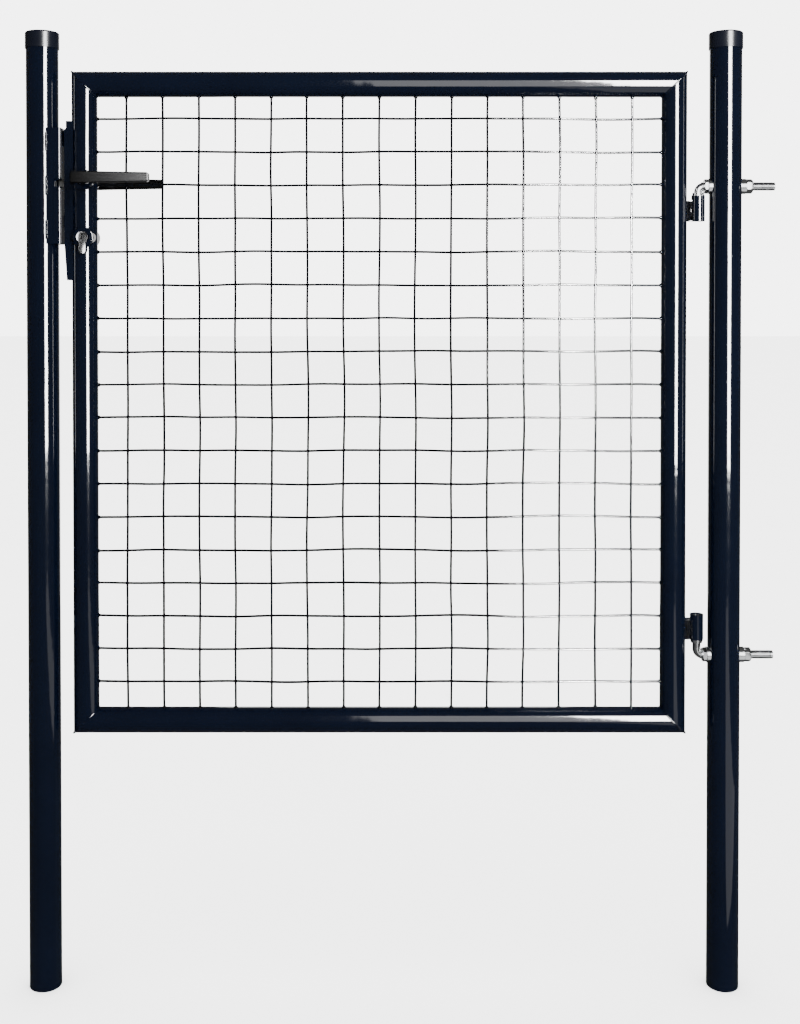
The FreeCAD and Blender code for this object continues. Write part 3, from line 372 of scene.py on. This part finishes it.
class Finish:
    """A material and the nodes that make it."""

    def __init__(self, name):
        self.material = bpy.data.materials.new(name)
        self.material.use_nodes = True
        self.tree = self.material.node_tree
        self.tree.nodes.clear()
        self.output = self.tree.nodes.new("ShaderNodeOutputMaterial")
        self.place = self.add("TexCoord", {}, {}, "Object")

    def add(self, kind, settings, inputs, output=0):
        """A node with its settings made first, then its sockets' values or links."""
        node = self.tree.nodes.new("ShaderNode" + kind)
        for name, value in settings.items():
            if name == "stops":
                self.set_stops(node, value)
            else:
                setattr(node, name, value)
        for key, value in inputs.items():
            if isinstance(value, Value):
                self.tree.links.new(value.socket, node.inputs[key])
            else:
                node.inputs[key].default_value = value
        return Value(self, node.outputs[output])

    def set_stops(self, node, stops):
        """The places and grey tones of a colour ramp."""
        ramp = node.color_ramp
        while len(ramp.elements) < len(stops):
            ramp.elements.new(1)
        for element, (position, grey) in zip(ramp.elements, stops):
            element.position = position
            element.color = (grey, grey, grey, 1)

    def noise(self, scale, detail=2.0, roughness=0.5, place=None):
        return self.add("TexNoise", {}, {"Vector": place or self.place, "Scale": scale,
                                         "Detail": detail, "Roughness": roughness}, "Fac")

    def cells(self, scale):
        return self.add("TexVoronoi", {}, {"Vector": self.place, "Scale": scale}, "Color")

    def stretched(self, across, along, up):
        return self.add("Mapping", {}, {"Vector": self.place, "Scale": (across, along, up)})

    def blend(self, amount, first, second):
        return self.add("Mix", {"data_type": "RGBA"}, {0: amount, 6: first, 7: second}, 2)

    def ramp(self, value, stops):
        return self.add("ValToRGB", {"stops": stops}, {0: value})

    def bump(self, height, distance, strength=1.0, normal=None):
        inputs = {"Height": height, "Distance": distance, "Strength": strength}
        if normal:
            inputs["Normal"] = normal
        return self.add("Bump", {}, inputs)

    def surface(self, **inputs):
        """The shader, its sockets named with underscores for spaces."""
        sockets = {name.replace("_", " "): value for name, value in inputs.items()}
        shader = self.add("BsdfPrincipled", {}, sockets)
        self.tree.links.new(shader.socket, self.output.inputs["Surface"])
        return self.material


def tone(colour, factor=1.0):
    """A colour made darker or lighter, with its alpha."""
    return tuple(min(1, part * factor) for part in colour) + (1,)


def looks():
    return bpy.context.scene.gate_finish


def sizes():
    return bpy.context.scene.gate_sizes


def gloss_coat(name, colour, roughness):
    """Gloss powder coat: deep colour, faint orange peel and a few dust specks."""
    finish = Finish(name)
    cloud = finish.noise(scale=9, detail=3)
    peel = finish.noise(scale=420, detail=1.5)
    swell = finish.noise(scale=38, detail=1)
    specks = finish.ramp(finish.noise(scale=900, detail=0), [(0.70, 0), (0.76, 1)])
    base = finish.blend(cloud, tone(colour, 0.75), tone(colour, 1.35))
    shade = finish.blend(specks * 0.25, base, tone(colour, 3))
    gloss = roughness + 0.04 * (finish.noise(scale=55, detail=4) - 0.5) + specks * 0.05
    relief = finish.bump(swell, distance=0.3 * MM, strength=0.6)
    relief = finish.bump(peel, distance=0.008 * MM, strength=0.8, normal=relief)
    return finish.surface(
        Base_Color=shade, Roughness=gloss.clamped(0.03, 0.6), Normal=relief, IOR=1.5)


def moulded_plastic(name, colour):
    """Satin dark moulding with a fine grain."""
    finish = Finish(name)
    grain = finish.noise(scale=1500, detail=2, roughness=0.6)
    flow = finish.noise(scale=25, detail=2)
    shade = finish.blend(flow, tone(colour, 0.8), tone(colour, 1.2))
    gloss = 0.24 + 0.08 * (finish.noise(scale=140, detail=3) - 0.5)
    return finish.surface(
        Base_Color=shade, Roughness=gloss.clamped(0.1, 0.9),
        Normal=finish.bump(grain, distance=0.03 * MM, strength=0.6), Specular_IOR_Level=0.25)


def zinc_plate(name, colour):
    """Bright zinc with a faint grain and duller patches."""
    finish = Finish(name)
    patches = finish.noise(scale=90, detail=4, roughness=0.6)
    grain = finish.cells(1400)
    shade = finish.blend(patches, tone(colour, 0.82), tone(colour, 1.12))
    gloss = 0.18 + 0.16 * (patches - 0.5) + 0.04 * finish.noise(scale=600, detail=2)
    return finish.surface(
        Base_Color=shade, Roughness=gloss.clamped(0.08, 0.7), Metallic=1.0,
        Normal=finish.bump(grain, distance=0.02 * MM, strength=0.5))


def drawn_steel(name, colour):
    """Plain steel with fine lines along the piece."""
    finish = Finish(name)
    lines = finish.noise(scale=1, detail=3, roughness=0.6,
                         place=finish.stretched(across=60, along=1500, up=1500))
    patches = finish.noise(scale=70, detail=3)
    shade = finish.blend(patches, tone(colour, 0.8), tone(colour, 1.2))
    gloss = 0.3 + 0.2 * (lines - 0.5)
    return finish.surface(
        Base_Color=shade, Roughness=gloss.clamped(0.12, 0.7), Metallic=1.0,
        Normal=finish.bump(lines, distance=0.02 * MM, strength=0.5))


def satin_metal(name, colour):
    """Blasted and lacquered handle metal, made paler towards the tip by painted light."""
    finish = Finish(name)
    grain = finish.noise(scale=1100, detail=2, roughness=0.6)
    lines = finish.noise(scale=1, detail=2, place=finish.stretched(across=25, along=900, up=900))
    patches = finish.noise(scale=30, detail=3)
    shade = finish.blend(patches, tone(colour, 0.85), tone(colour, 1.2))
    gloss = 0.24 + 0.1 * (lines - 0.5) + 0.05 * (grain - 0.5)
    hub, tip = part_box("front_lever")
    across = finish.add("SeparateXYZ", {}, {0: finish.place}, "X")
    # Painted light: metallic falls from 0.92 at the hub to 0.35 at the tip, so the pale surround
    # lightens the tip. This paints the shading of the lever's curve.
    tip_painted_light = finish.add("MapRange", {}, {"Value": across, "From Min": hub.x, "From Max": tip.x,
                                           "To Min": 0.92, "To Max": 0.35})
    return finish.surface(
        Base_Color=shade, Roughness=gloss.clamped(0.1, 0.8), Metallic=tip_painted_light,
        Normal=finish.bump(grain, distance=0.025 * MM, strength=0.6))


def nickel(name, colour):
    """Polished nickel, faintly brushed, and uneven enough to mirror a light in part."""
    finish = Finish(name)
    lines = finish.noise(scale=1, detail=3, roughness=0.6,
                         place=finish.stretched(across=1600, along=1600, up=40))
    shade = finish.blend(finish.noise(scale=120, detail=2), tone(colour, 0.85), tone(colour, 1.15))
    gloss = 0.06 + 0.04 * (lines - 0.5)
    relief = finish.bump(finish.noise(scale=60, detail=0), distance=0.45 * MM)
    relief = finish.bump(lines, distance=0.004 * MM, strength=0.5, normal=relief)
    return finish.surface(
        Base_Color=shade, Roughness=gloss.clamped(0.03, 0.6), Metallic=1.0, Normal=relief)


MAKERS = {
    "gate_paint": lambda: gloss_coat("gloss_paint", looks().paint_colour,
                                     looks().paint_roughness),
    "mesh_paint": lambda: gloss_coat("wire_paint", looks().wire_colour,
                                     looks().paint_roughness * 1.5),
    "cap_plastic": lambda: moulded_plastic("cap_moulding", looks().cap_colour),
    "zinc_steel": lambda: zinc_plate("zinc", looks().zinc_colour),
    "lock_steel": lambda: drawn_steel("steel", looks().steel_colour),
    "lever_metal": lambda: satin_metal("handle_metal", looks().lever_colour),
    "cylinder_chrome": lambda: nickel("nickel", looks().cylinder_colour),
}
made = {}


def finish_of(slot):
    """The finish of a material slot, made once."""
    if slot not in made:
        made[slot] = MAKERS[slot]()
    return made[slot]


# ---- the wire panel -----------------------------------------------------------------------
def wander(piece):
    """Bend the panel's pieces by one field, so that wires and welds stay together."""
    for direction, size, share in WANDER:
        clouds(piece, "wander_" + direction, size, sizes().wire_waviness * share, direction,
               depth=1)


def wires(node, count, along, across):
    """Bent wires in place of a node's straight ones, along one axis and spaced on another."""
    low, high = part_box(node)
    radius = (high.y - low.y) / 2
    length = high[along] - low[along] + 2 * sizes().wire_entry
    centre = (low + high) / 2
    centre[across] = low[across] + radius
    wire = start("cylinder", node + "_bent", vertices=10, radius=radius * WIRE_COAT,
                 depth=length, location=centre, rotation=LYING if along == 0 else (0, 0, 0))
    edit(wire, "EDGE", lambda a, b: abs(a[along] - b[along]) > length / 2)
    bpy.ops.mesh.subdivide(number_cuts=WIRE_CUTS)
    clear()
    step = [0, 0, 0]
    step[across] = (high[across] - low[across] - 2 * radius) / (count - 1)
    repeat(wire, count, step)
    wander(wire)
    return wire


class GATE_OT_wires(bpy.types.Operator):
    """Bent upright and level wires"""
    bl_idname = "gate.wires"
    bl_label = "Wires"

    def execute(self, context):
        for node, count, along, across in (("mesh_upright_wires", UPRIGHT_WIRES, 2, 0),
                                           ("mesh_level_wires", LEVEL_WIRES, 0, 2)):
            wire = wires(node, count, along, across)
            show(wire, "leaf", finish_of("mesh_paint"))
            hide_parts(node)
        return {"FINISHED"}


class GATE_OT_wire_welds(bpy.types.Operator):
    """Welds where the wires cross and where they meet the frame"""
    bl_idname = "gate.wire_welds"
    bl_label = "Wire welds"

    def execute(self, context):
        up_low, up_high = part_box("mesh_upright_wires")
        level_low, level_high = part_box("mesh_level_wires")
        wire = (up_high.y - up_low.y) / 2
        first = Vector((up_low.x + wire, 0, level_low.z + wire))
        last = Vector((up_high.x - wire, 0, level_high.z - wire))
        across = (last.x - first.x) / (UPRIGHT_WIRES - 1)
        rise = (last.z - first.z) / (LEVEL_WIRES - 1)
        up_y = (up_low.y + up_high.y) / 2
        level_y = (level_low.y + level_high.y) / 2
        spot = start("ico_sphere", "wire_spot_welds", stretch=(1, SPOT_DEPTH, 1), subdivisions=2,
                     radius=sizes().spot_radius,
                     location=(first.x, (up_y + level_y) / 2, first.z))
        repeat(spot, UPRIGHT_WIRES, (across, 0, 0))
        repeat(spot, LEVEL_WIRES, (0, 0, rise))
        ends = []
        radius = sizes().end_radius
        for height in (up_low.z, up_high.z):
            blob = start("ico_sphere", "wire_end", stretch=(1, 1, END_DEPTH), subdivisions=2,
                         radius=radius, location=(first.x, up_y, height))
            repeat(blob, UPRIGHT_WIRES, (across, 0, 0))
            ends.append(blob)
        for side in (level_low.x, level_high.x):
            blob = start("ico_sphere", "wire_end", stretch=(END_DEPTH, 1, 1), subdivisions=2,
                         radius=radius, location=(side, level_y, first.z))
            repeat(blob, LEVEL_WIRES, (0, 0, rise))
            ends.append(blob)
        end_welds = joined("wire_end_welds", ends)
        for piece in (spot, end_welds):
            wander(piece)
            show(piece, "leaf", finish_of("mesh_paint"), ROUND)
        return {"FINISHED"}


# ---- welds of the frame, hinges and strike ------------------------------------------------
def bead(name, bottom, height, radius, lean):
    """A row of overlapping weld ripples, straight up from a point."""
    pitch = radius * RIPPLE_PITCH
    ripple = start("uv_sphere", name, stretch=(1, 1, RIPPLE_THICK), segments=16, ring_count=10,
                   radius=radius, location=bottom + Vector((0, 0, radius * RIPPLE_THICK)),
                   rotation=(lean, 0, 0))
    repeat(ripple, max(2, round((height - radius) / pitch)), (0, 0, pitch))
    return ripple


class GATE_OT_corner_welds(bpy.types.Operator):
    """Weld seams round the mitred corners of the leaf"""
    bl_idname = "gate.corner_welds"
    bl_label = "Corner welds"

    def execute(self, context):
        seams = []
        for stile, lean in (("latch_stile", 1), ("hinge_stile", -1)):
            for rail, way in (("top_rail", 1), ("bottom_rail", -1)):
                across = middle_of(stile).x
                up = middle_of(rail).z
                low, high = part_box(rail)
                tube = (high.z - low.z) / 2
                seam = start("torus", "seam", stretch=(math.sqrt(2) * SEAM_SINK, 1, 1),
                             major_radius=tube, minor_radius=sizes().seam_radius,
                             major_segments=120, minor_segments=10, location=(0, 0, 0))
                seam.rotation_euler = (0, lean * way * math.pi / 4, 0)
                seam.location = (across, 0, up)
                settle(seam)
                seams.append(seam)
        whole = joined("corner_welds", seams)
        roughen(whole, "seam_unevenness", size=4.5 * MM, height=0.9 * MM)
        show(whole, "leaf", finish_of("gate_paint"), ROUND)
        return {"FINISHED"}


class GATE_OT_hinge_welds(bpy.types.Operator):
    """Ripple welds that join the hinge barrels' straps to the stile and the barrels"""
    bl_idname = "gate.hinge_welds"
    bl_label = "Hinge welds"

    def execute(self, context):
        radius = sizes().bead_radius
        for name, barrel in (("upper_hinge_weld", "upper_barrel"),
                             ("lower_hinge_weld", "lower_barrel")):
            low, high = part_box(barrel)
            mid = (low.z + high.z) / 2
            strap_low, strap_high = part_box("hinge_straps",
                                             lambda point: abs(point.z - mid) < high.z - low.z)
            height = strap_high.z - strap_low.z
            rows = []
            proud = radius * BEAD_PROUD
            for front in (-1, 1):
                deep = front * (strap_high.y + proud)
                for across in (strap_low.x + radius / 2, (strap_low.x + strap_high.x) / 2,
                               strap_high.x + proud):
                    foot = Vector((across, deep, strap_low.z))
                    rows.append(bead(name, foot, height, radius, front * HINGE_LEAN))
            whole = joined(name, rows)
            roughen(whole, name + "_unevenness", size=4.5 * MM, height=2.2 * MM)
            show(whole, "leaf", finish_of("gate_paint"), RIPPLED)
        return {"FINISHED"}


class GATE_OT_strike_welds(bpy.types.Operator):
    """Stitch welds between the strike bracket's flanges and the post"""
    bl_idname = "gate.strike_welds"
    bl_label = "Strike welds"

    def execute(self, context):
        low, high = part_box("strike_bracket")
        radius = sizes().bead_radius * STITCH_RADIUS
        stitch = (high.z - low.z) / STITCHES_HIGH
        rows = []
        for side in (low.y + STITCH_INSET, high.y - STITCH_INSET):
            for share in STITCH_PLACES:
                foot = Vector((low.x, side, low.z + (high.z - low.z) * share))
                rows.append(bead("stitch", foot, stitch, radius,
                                 math.copysign(STRIKE_LEAN, side)))
        whole = joined("strike_welds", rows)
        roughen(whole, "stitch_unevenness", size=3 * MM, height=0.5 * MM)
        show(whole, "posts", finish_of("gate_paint"), RIPPLED)
        return {"FINISHED"}


# ---- hinge hardware -----------------------------------------------------------------------
def rod_heights():
    """The height of each hinge rod, upper and lower."""
    split = middle_of("outer_hook_nuts").z
    return (middle_of("outer_hook_nuts", lambda point: point.z > split).z,
            middle_of("outer_hook_nuts", lambda point: point.z < split).z)


def rod_size():
    """Radius of the hinge rods."""
    upper = rod_heights()[0]
    return part_box("upper_hinge_hook")[1].z - upper


def thread(name, left, right, height):
    """A thread's ridge, wound round a rod that lies along X."""
    pitch = sizes().thread_pitch
    root = rod_size() - THREAD_ROOT
    crest = rod_size() + sizes().thread_height
    ridge = start("circle", name, vertices=3, radius=1, fill_type="NOTHING", location=(0, 0, 0))
    corners = ((left, root), (left + pitch / 2, crest), (left + pitch * THREAD_WIDE, root))
    for point, (across, up) in zip(ridge.data.vertices, corners):
        point.co = (across, 0, up)
    turns = int((right - left) / pitch) - 1
    modify(ridge, "SCREW", axis="X", angle=math.tau, screw_offset=pitch, iterations=turns,
           steps=THREAD_STEPS, render_steps=THREAD_STEPS, use_merge_vertices=False,
           use_smooth_shade=False)
    # select_non_manifold adds the ridge's two open ends to what is selected, which is nothing
    edit(ridge, "EDGE", lambda a, b: False)
    bpy.ops.mesh.select_non_manifold()
    bpy.ops.mesh.fill()
    bpy.ops.mesh.select_all(action="SELECT")
    bpy.ops.mesh.normals_make_consistent(inside=False)
    clear()
    ridge.location = (0, 0, height)
    settle(ridge)
    return ridge


class GATE_OT_threads(bpy.types.Operator):
    """Threads on the hinge rods"""
    bl_idname = "gate.threads"
    bl_label = "Threads"

    def execute(self, context):
        outer = part_box("outer_hook_nuts")[1].x
        inner = part_box("inner_hook_nuts")[0].x
        tail = part_box("upper_hinge_hook")[1].x
        runs = []
        for height in rod_heights():
            runs.append(thread("thread", outer - NUT_OVERLAP, tail, height))
            runs.append(thread("thread", inner - THREAD_SHOWN, inner + NUT_OVERLAP, height))
        whole = joined("hook_threads", runs)
        show(whole, "posts", finish_of("zinc_steel"), CRISP)
        return {"FINISHED"}


def hex_nut(name, low, high, height):
    """A chamfered hex nut on a rod along X, its corners up and down."""
    thick = high.x - low.x
    corner = (high.y - low.y) / math.sqrt(3)
    centre = ((low.x + high.x) / 2, 0, height)
    nut = start("cylinder", name, vertices=6, radius=corner, depth=thick, location=centre,
                rotation=LYING)
    edit(nut, "FACE", lambda point, normal: True)
    bpy.ops.transform.rotate(value=math.pi / 2, orient_axis="X", center_override=centre)
    clear()
    turning = start("cylinder", "turning", vertices=72, radius=corner, depth=thick,
                    location=centre, rotation=LYING)
    edit(turning, "EDGE", lambda a, b: abs(a.x - b.x) < TINY)
    bpy.ops.mesh.bevel(offset=sizes().nut_chamfer, segments=1)
    clear()
    combine(nut, turning, "INTERSECT")
    hole = start("cylinder", "hole", vertices=48, radius=rod_size() + NUT_GAP, depth=thick * 2,
                 location=centre, rotation=LYING)
    combine(nut, hole, "DIFFERENCE")
    modify(nut, "BEVEL", width=NUT_EDGE, segments=2, limit_method="ANGLE",
           angle_limit=math.radians(25))
    clean(nut)
    return nut


class GATE_OT_nuts(bpy.types.Operator):
    """Chamfered nuts on the hinge rods"""
    bl_idname = "gate.nuts"
    bl_label = "Nuts"

    def execute(self, context):
        for node in ("inner_hook_nuts", "outer_hook_nuts"):
            low, high = part_box(node)
            nuts = [hex_nut(node, low, high, height) for height in rod_heights()]
            whole = joined(node + "_chamfered", nuts)
            show(whole, "posts", finish_of("zinc_steel"), CRISP)
            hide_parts(node)
        return {"FINISHED"}


# ---- screws -------------------------------------------------------------------------------
def cross_screw(name, low, high):
    """A pan-head screw along X with a cross recess in its head, which faces -X."""
    left, right = low.x, high.x
    height = (low.z + high.z) / 2
    radius = (high.z - low.z) / 2
    screw = start("cylinder", name, vertices=40, radius=radius, depth=HEAD_THICK,
                  location=(left + HEAD_THICK / 2, 0, height), rotation=LYING)
    edit(screw, "EDGE", lambda a, b: max(a.x, b.x) < left + TINY)
    bpy.ops.mesh.bevel(offset=HEAD_ROUND, segments=3)
    clear()
    for wide, tall in CROSS_BLADES:
        blade = start("cube", "blade", size=1, location=(left, 0, height),
                      stretch=(sizes().recess_depth * 2, radius * wide, radius * tall))
        combine(screw, blade, "DIFFERENCE")
    shank = start("cylinder", "shank", vertices=24, radius=radius * SHANK_SHARE,
                  depth=right - left - HEAD_THICK,
                  location=((left + HEAD_THICK + right) / 2, 0, height), rotation=LYING)
    combine(screw, shank, "UNION")
    modify(screw, "BEVEL", width=HEAD_EDGE, segments=1, limit_method="ANGLE",
           angle_limit=math.radians(40))
    clean(screw)
    return screw


class GATE_OT_lock_screws(bpy.types.Operator):
    """Screws in the forend"""
    bl_idname = "gate.lock_screws"
    bl_label = "Lock screws"

    def execute(self, context):
        split = middle_of("forend_screws").z
        screws = []
        for above in (True, False):
            low, high = part_box("forend_screws", lambda point: (point.z > split) == above)
            screws.append(cross_screw("forend_screw", low, high))
        whole = joined("forend_screws_recessed", screws)
        fixing = cross_screw("cylinder_screw_recessed", *part_box("cylinder_screw"))
        for piece, node in ((whole, "forend_screws"), (fixing, "cylinder_screw")):
            show(piece, "leaf", finish_of("zinc_steel"), CRISP)
            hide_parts(node)
        return {"FINISHED"}


class GATE_OT_lever_screws(bpy.types.Operator):
    """Socket set screws under the levers' necks"""
    bl_idname = "gate.lever_screws"
    bl_label = "Lever screws"

    def execute(self, context):
        screws = []
        for front in (True, False):
            low, high = part_box("lever_grub_screws", lambda point: (point.y < 0) == front)
            centre = (low + high) / 2
            radius = (high.x - low.x) / 2
            screw = start("cylinder", "set_screw", vertices=32, radius=radius,
                          depth=high.z - low.z, location=centre)
            edit(screw, "EDGE", lambda a, b: max(a.z, b.z) < low.z + TINY)
            bpy.ops.mesh.bevel(offset=SET_SCREW_CHAMFER, segments=1)
            clear()
            socket = start("cylinder", "socket", vertices=6, radius=radius * SOCKET_SHARE,
                           depth=high.z - low.z, location=(centre.x, centre.y, low.z))
            combine(screw, socket, "DIFFERENCE")
            clean(screw)
            screws.append(screw)
        whole = joined("lever_set_screws", screws)
        show(whole, "lever", finish_of("lock_steel"), CRISP)
        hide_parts("lever_grub_screws")
        return {"FINISHED"}


# ---- finishes of the frame and the stage --------------------------------------------------
class GATE_OT_finishes(bpy.types.Operator):
    """Finishes on every piece of the frame"""
    bl_idname = "gate.finishes"
    bl_label = "Finishes"

    def execute(self, context):
        slots = {part["node"]: part["material_slot"] for part in frame["record"]["subparts"]}
        for name, piece in frame["nodes"].items():
            finish = finish_of(slots[name])
            if not piece.material_slots:
                piece.data.materials.append(finish)
            for slot in piece.material_slots:
                slot.material = finish
        for name in ("strike_bracket", "lock_forend", "key_cylinder", "upper_barrel",
                     "lower_barrel", "front_plug", "rear_plug"):
            edges = frame["nodes"][name].modifiers.new("edges", "BEVEL")
            edges.width = SOFT_EDGE
            edges.segments = SOFT_STEPS
            edges.limit_method = "ANGLE"
            edges.angle_limit = math.radians(SOFT_ANGLE)
            edges.harden_normals = True
        return {"FINISHED"}


def lamp(name, place, target, size, watts, lit, spread=180):
    """A soft panel of light that reaches only the pieces that pass a test."""
    data = bpy.data.lights.new(name, "AREA")
    data.shape = "RECTANGLE"
    data.size, data.size_y = size
    data.energy = watts
    data.spread = math.radians(spread)
    item = bpy.data.objects.new(name, data)
    bpy.context.scene.collection.objects.link(item)
    item.location = place
    item.rotation_mode = "QUATERNION"
    item.rotation_quaternion = (Vector(target) - Vector(place)).to_track_quat("-Z", "Y")
    item.visible_camera = False
    group = bpy.data.collections.new(name + "_lit")
    for piece in bpy.data.objects:
        if piece.type == "MESH" and piece.name != "floor" and lit(piece.name):
            group.objects.link(piece)
    item.light_linking.receiver_collection = group


def is_wire(name):
    """Whether a piece belongs to the wire panel."""
    return name.startswith(("mesh_", "wire_"))


def is_zinc(name):
    """Whether a piece belongs to the hinges' plated parts."""
    return name.startswith(("upper_hinge_hook", "lower_hinge_hook", "hook_", "inner_", "outer_",
                            "thrust_"))


def by_window(name):
    """Whether the window lamp reaches a piece."""
    return not (is_wire(name) or is_zinc(name) or name == "rear_lever"
                or name.endswith("hinge_weld"))


class GATE_OT_stage(bpy.types.Operator):
    """Floor, soft lights and camera"""
    bl_idname = "gate.stage"
    bl_label = "Stage"

    def execute(self, context):
        middle = (CAD_BOX[0][0] + CAD_BOX[1][0]) / 2
        ground = CAD_BOX[0][2]
        self.floor(middle, ground)
        self.world()
        self.lights(middle, ground)
        self.camera(middle, ground)
        return {"FINISHED"}

    def floor(self, middle, ground):
        floor = start("plane", "floor", size=FLOOR_SIZE, location=(middle, 0, ground - FLOOR_GAP))
        pale = Finish("floor")
        tint = pale.blend(pale.noise(scale=3, detail=3), tone(looks().floor_colour, 0.98),
                          tone(looks().floor_colour, 1.02))
        floor.data.materials.append(pale.surface(Base_Color=tint, Roughness=0.9))
        floor.visible_glossy = False

    def world(self):
        """A pale surround that the gloss coat reflects only dimly."""
        sky = bpy.data.worlds.new("studio")
        sky.use_nodes = True
        tree = sky.node_tree
        background = tree.nodes["Background"]
        background.inputs["Color"].default_value = (1, 1, 1, 1)
        path = tree.nodes.new("ShaderNodeLightPath")
        dim = tree.nodes.new("ShaderNodeMapRange")
        dim.inputs["To Min"].default_value = SURROUND
        dim.inputs["To Max"].default_value = SURROUND_IN_GLOSS
        tree.links.new(path.outputs["Is Glossy Ray"], dim.inputs["Value"])
        tree.links.new(dim.outputs["Result"], background.inputs["Strength"])
        sky.cycles.sampling_method = "NONE"
        bpy.context.scene.world = sky

    def lights(self, middle, ground):
        """The window gives the tubes their streaks; the other lamps serve single pieces."""
        left = CAD_BOX[0][0]
        right = CAD_BOX[1][0]
        lamp("window", place=(right + 0.68, -2.5, ground + 1.6),
             target=(middle, 0, ground + 1.1), size=(1.0, 2.4), watts=1100, lit=by_window)
        lamp("rail_light", place=(middle + 0.35, -2.5, ground + 1.45),
             target=(middle, 0, ground + 0.9), size=(0.9, 2.6), watts=30,
             lit=lambda name: name in ("top_rail", "bottom_rail"))
        lamp("wire_light", place=(right + 0.08, -2.5, ground + 1.2),
             target=(right + 0.08, 0, ground + 1.1), size=(0.3, 2.2), watts=140, lit=is_wire,
             spread=20)
        lamp("zinc_light", place=(right - 0.2, -2.6, ground + 1.6),
             target=(right, 0, ground + 0.9), size=(2.6, 2.4), watts=110, lit=is_zinc)
        lamp("floor_glow", place=(middle + 0.9, -1.3, ground + 0.01),
             target=(middle + 0.9, -1.3, ground + 1), size=(0.7, 2.2), watts=5,
             lit=lambda name: not is_wire(name))
        lamp("behind", place=(middle, 2.4, ground + 1.1), target=(middle, 0, ground + 1.1),
             size=(1.2, 2.2), watts=14, lit=lambda name: not is_wire(name))
        lamp("lever_light", place=(left + 0.2, -2.3, ground + 1.5),
             target=(left + 0.2, 0, ground + 1.2), size=(0.4, 0.8), watts=60,
             lit=lambda name: name == "front_lever")
        lamp("cylinder_light", place=(left - 0.62, -1.9, ground + 0.8),
             target=(left, 0, ground + 0.9), size=(0.5, 1.0), watts=9,
             lit=lambda name: name in ("key_cylinder", "front_plug"))

    def camera(self, middle, ground):
        data = bpy.data.cameras.new("view")
        data.sensor_width = 36
        data.lens = LENS
        data.shift_x, data.shift_y = SHIFT
        camera = bpy.data.objects.new("view", data)
        bpy.context.scene.collection.objects.link(camera)
        aside, back, up = CAMERA_PLACE
        camera.location = (middle + aside, back, ground + up)
        camera.rotation_euler = (math.radians(90 - CAMERA_DIP), 0, 0)
        bpy.context.scene.camera = camera


class GATE_PT_panel(bpy.types.Panel):
    """Gate details and finishes"""
    bl_label = "Garden gate"
    bl_idname = "GATE_PT_panel"
    bl_space_type = "VIEW_3D"
    bl_region_type = "UI"
    bl_category = "Gate"

    def draw(self, context):
        column = self.layout.column()
        for group in (context.scene.gate_sizes, context.scene.gate_finish):
            for name in group.__annotations__:
                column.prop(group, name)
        for operator in OPERATORS:
            column.operator(operator.bl_idname)


OPERATORS = (GATE_OT_wires, GATE_OT_wire_welds, GATE_OT_corner_welds, GATE_OT_hinge_welds,
             GATE_OT_strike_welds, GATE_OT_threads, GATE_OT_nuts, GATE_OT_lock_screws,
             GATE_OT_lever_screws, GATE_OT_finishes, GATE_OT_stage)
CLASSES = (GateFinish, GateSizes) + OPERATORS + (GATE_PT_panel,)


def register():
    for item in CLASSES:
        bpy.utils.register_class(item)
    bpy.types.Scene.gate_finish = bpy.props.PointerProperty(type=GateFinish)
    bpy.types.Scene.gate_sizes = bpy.props.PointerProperty(type=GateSizes)


def unregister():
    del bpy.types.Scene.gate_sizes
    del bpy.types.Scene.gate_finish
    for item in reversed(CLASSES):
        bpy.utils.unregister_class(item)


def main():
    register()
    for operator in OPERATORS:
        getattr(bpy.ops.gate, operator.bl_idname.split(".")[1])()


if __name__ == "__main__":
    main()
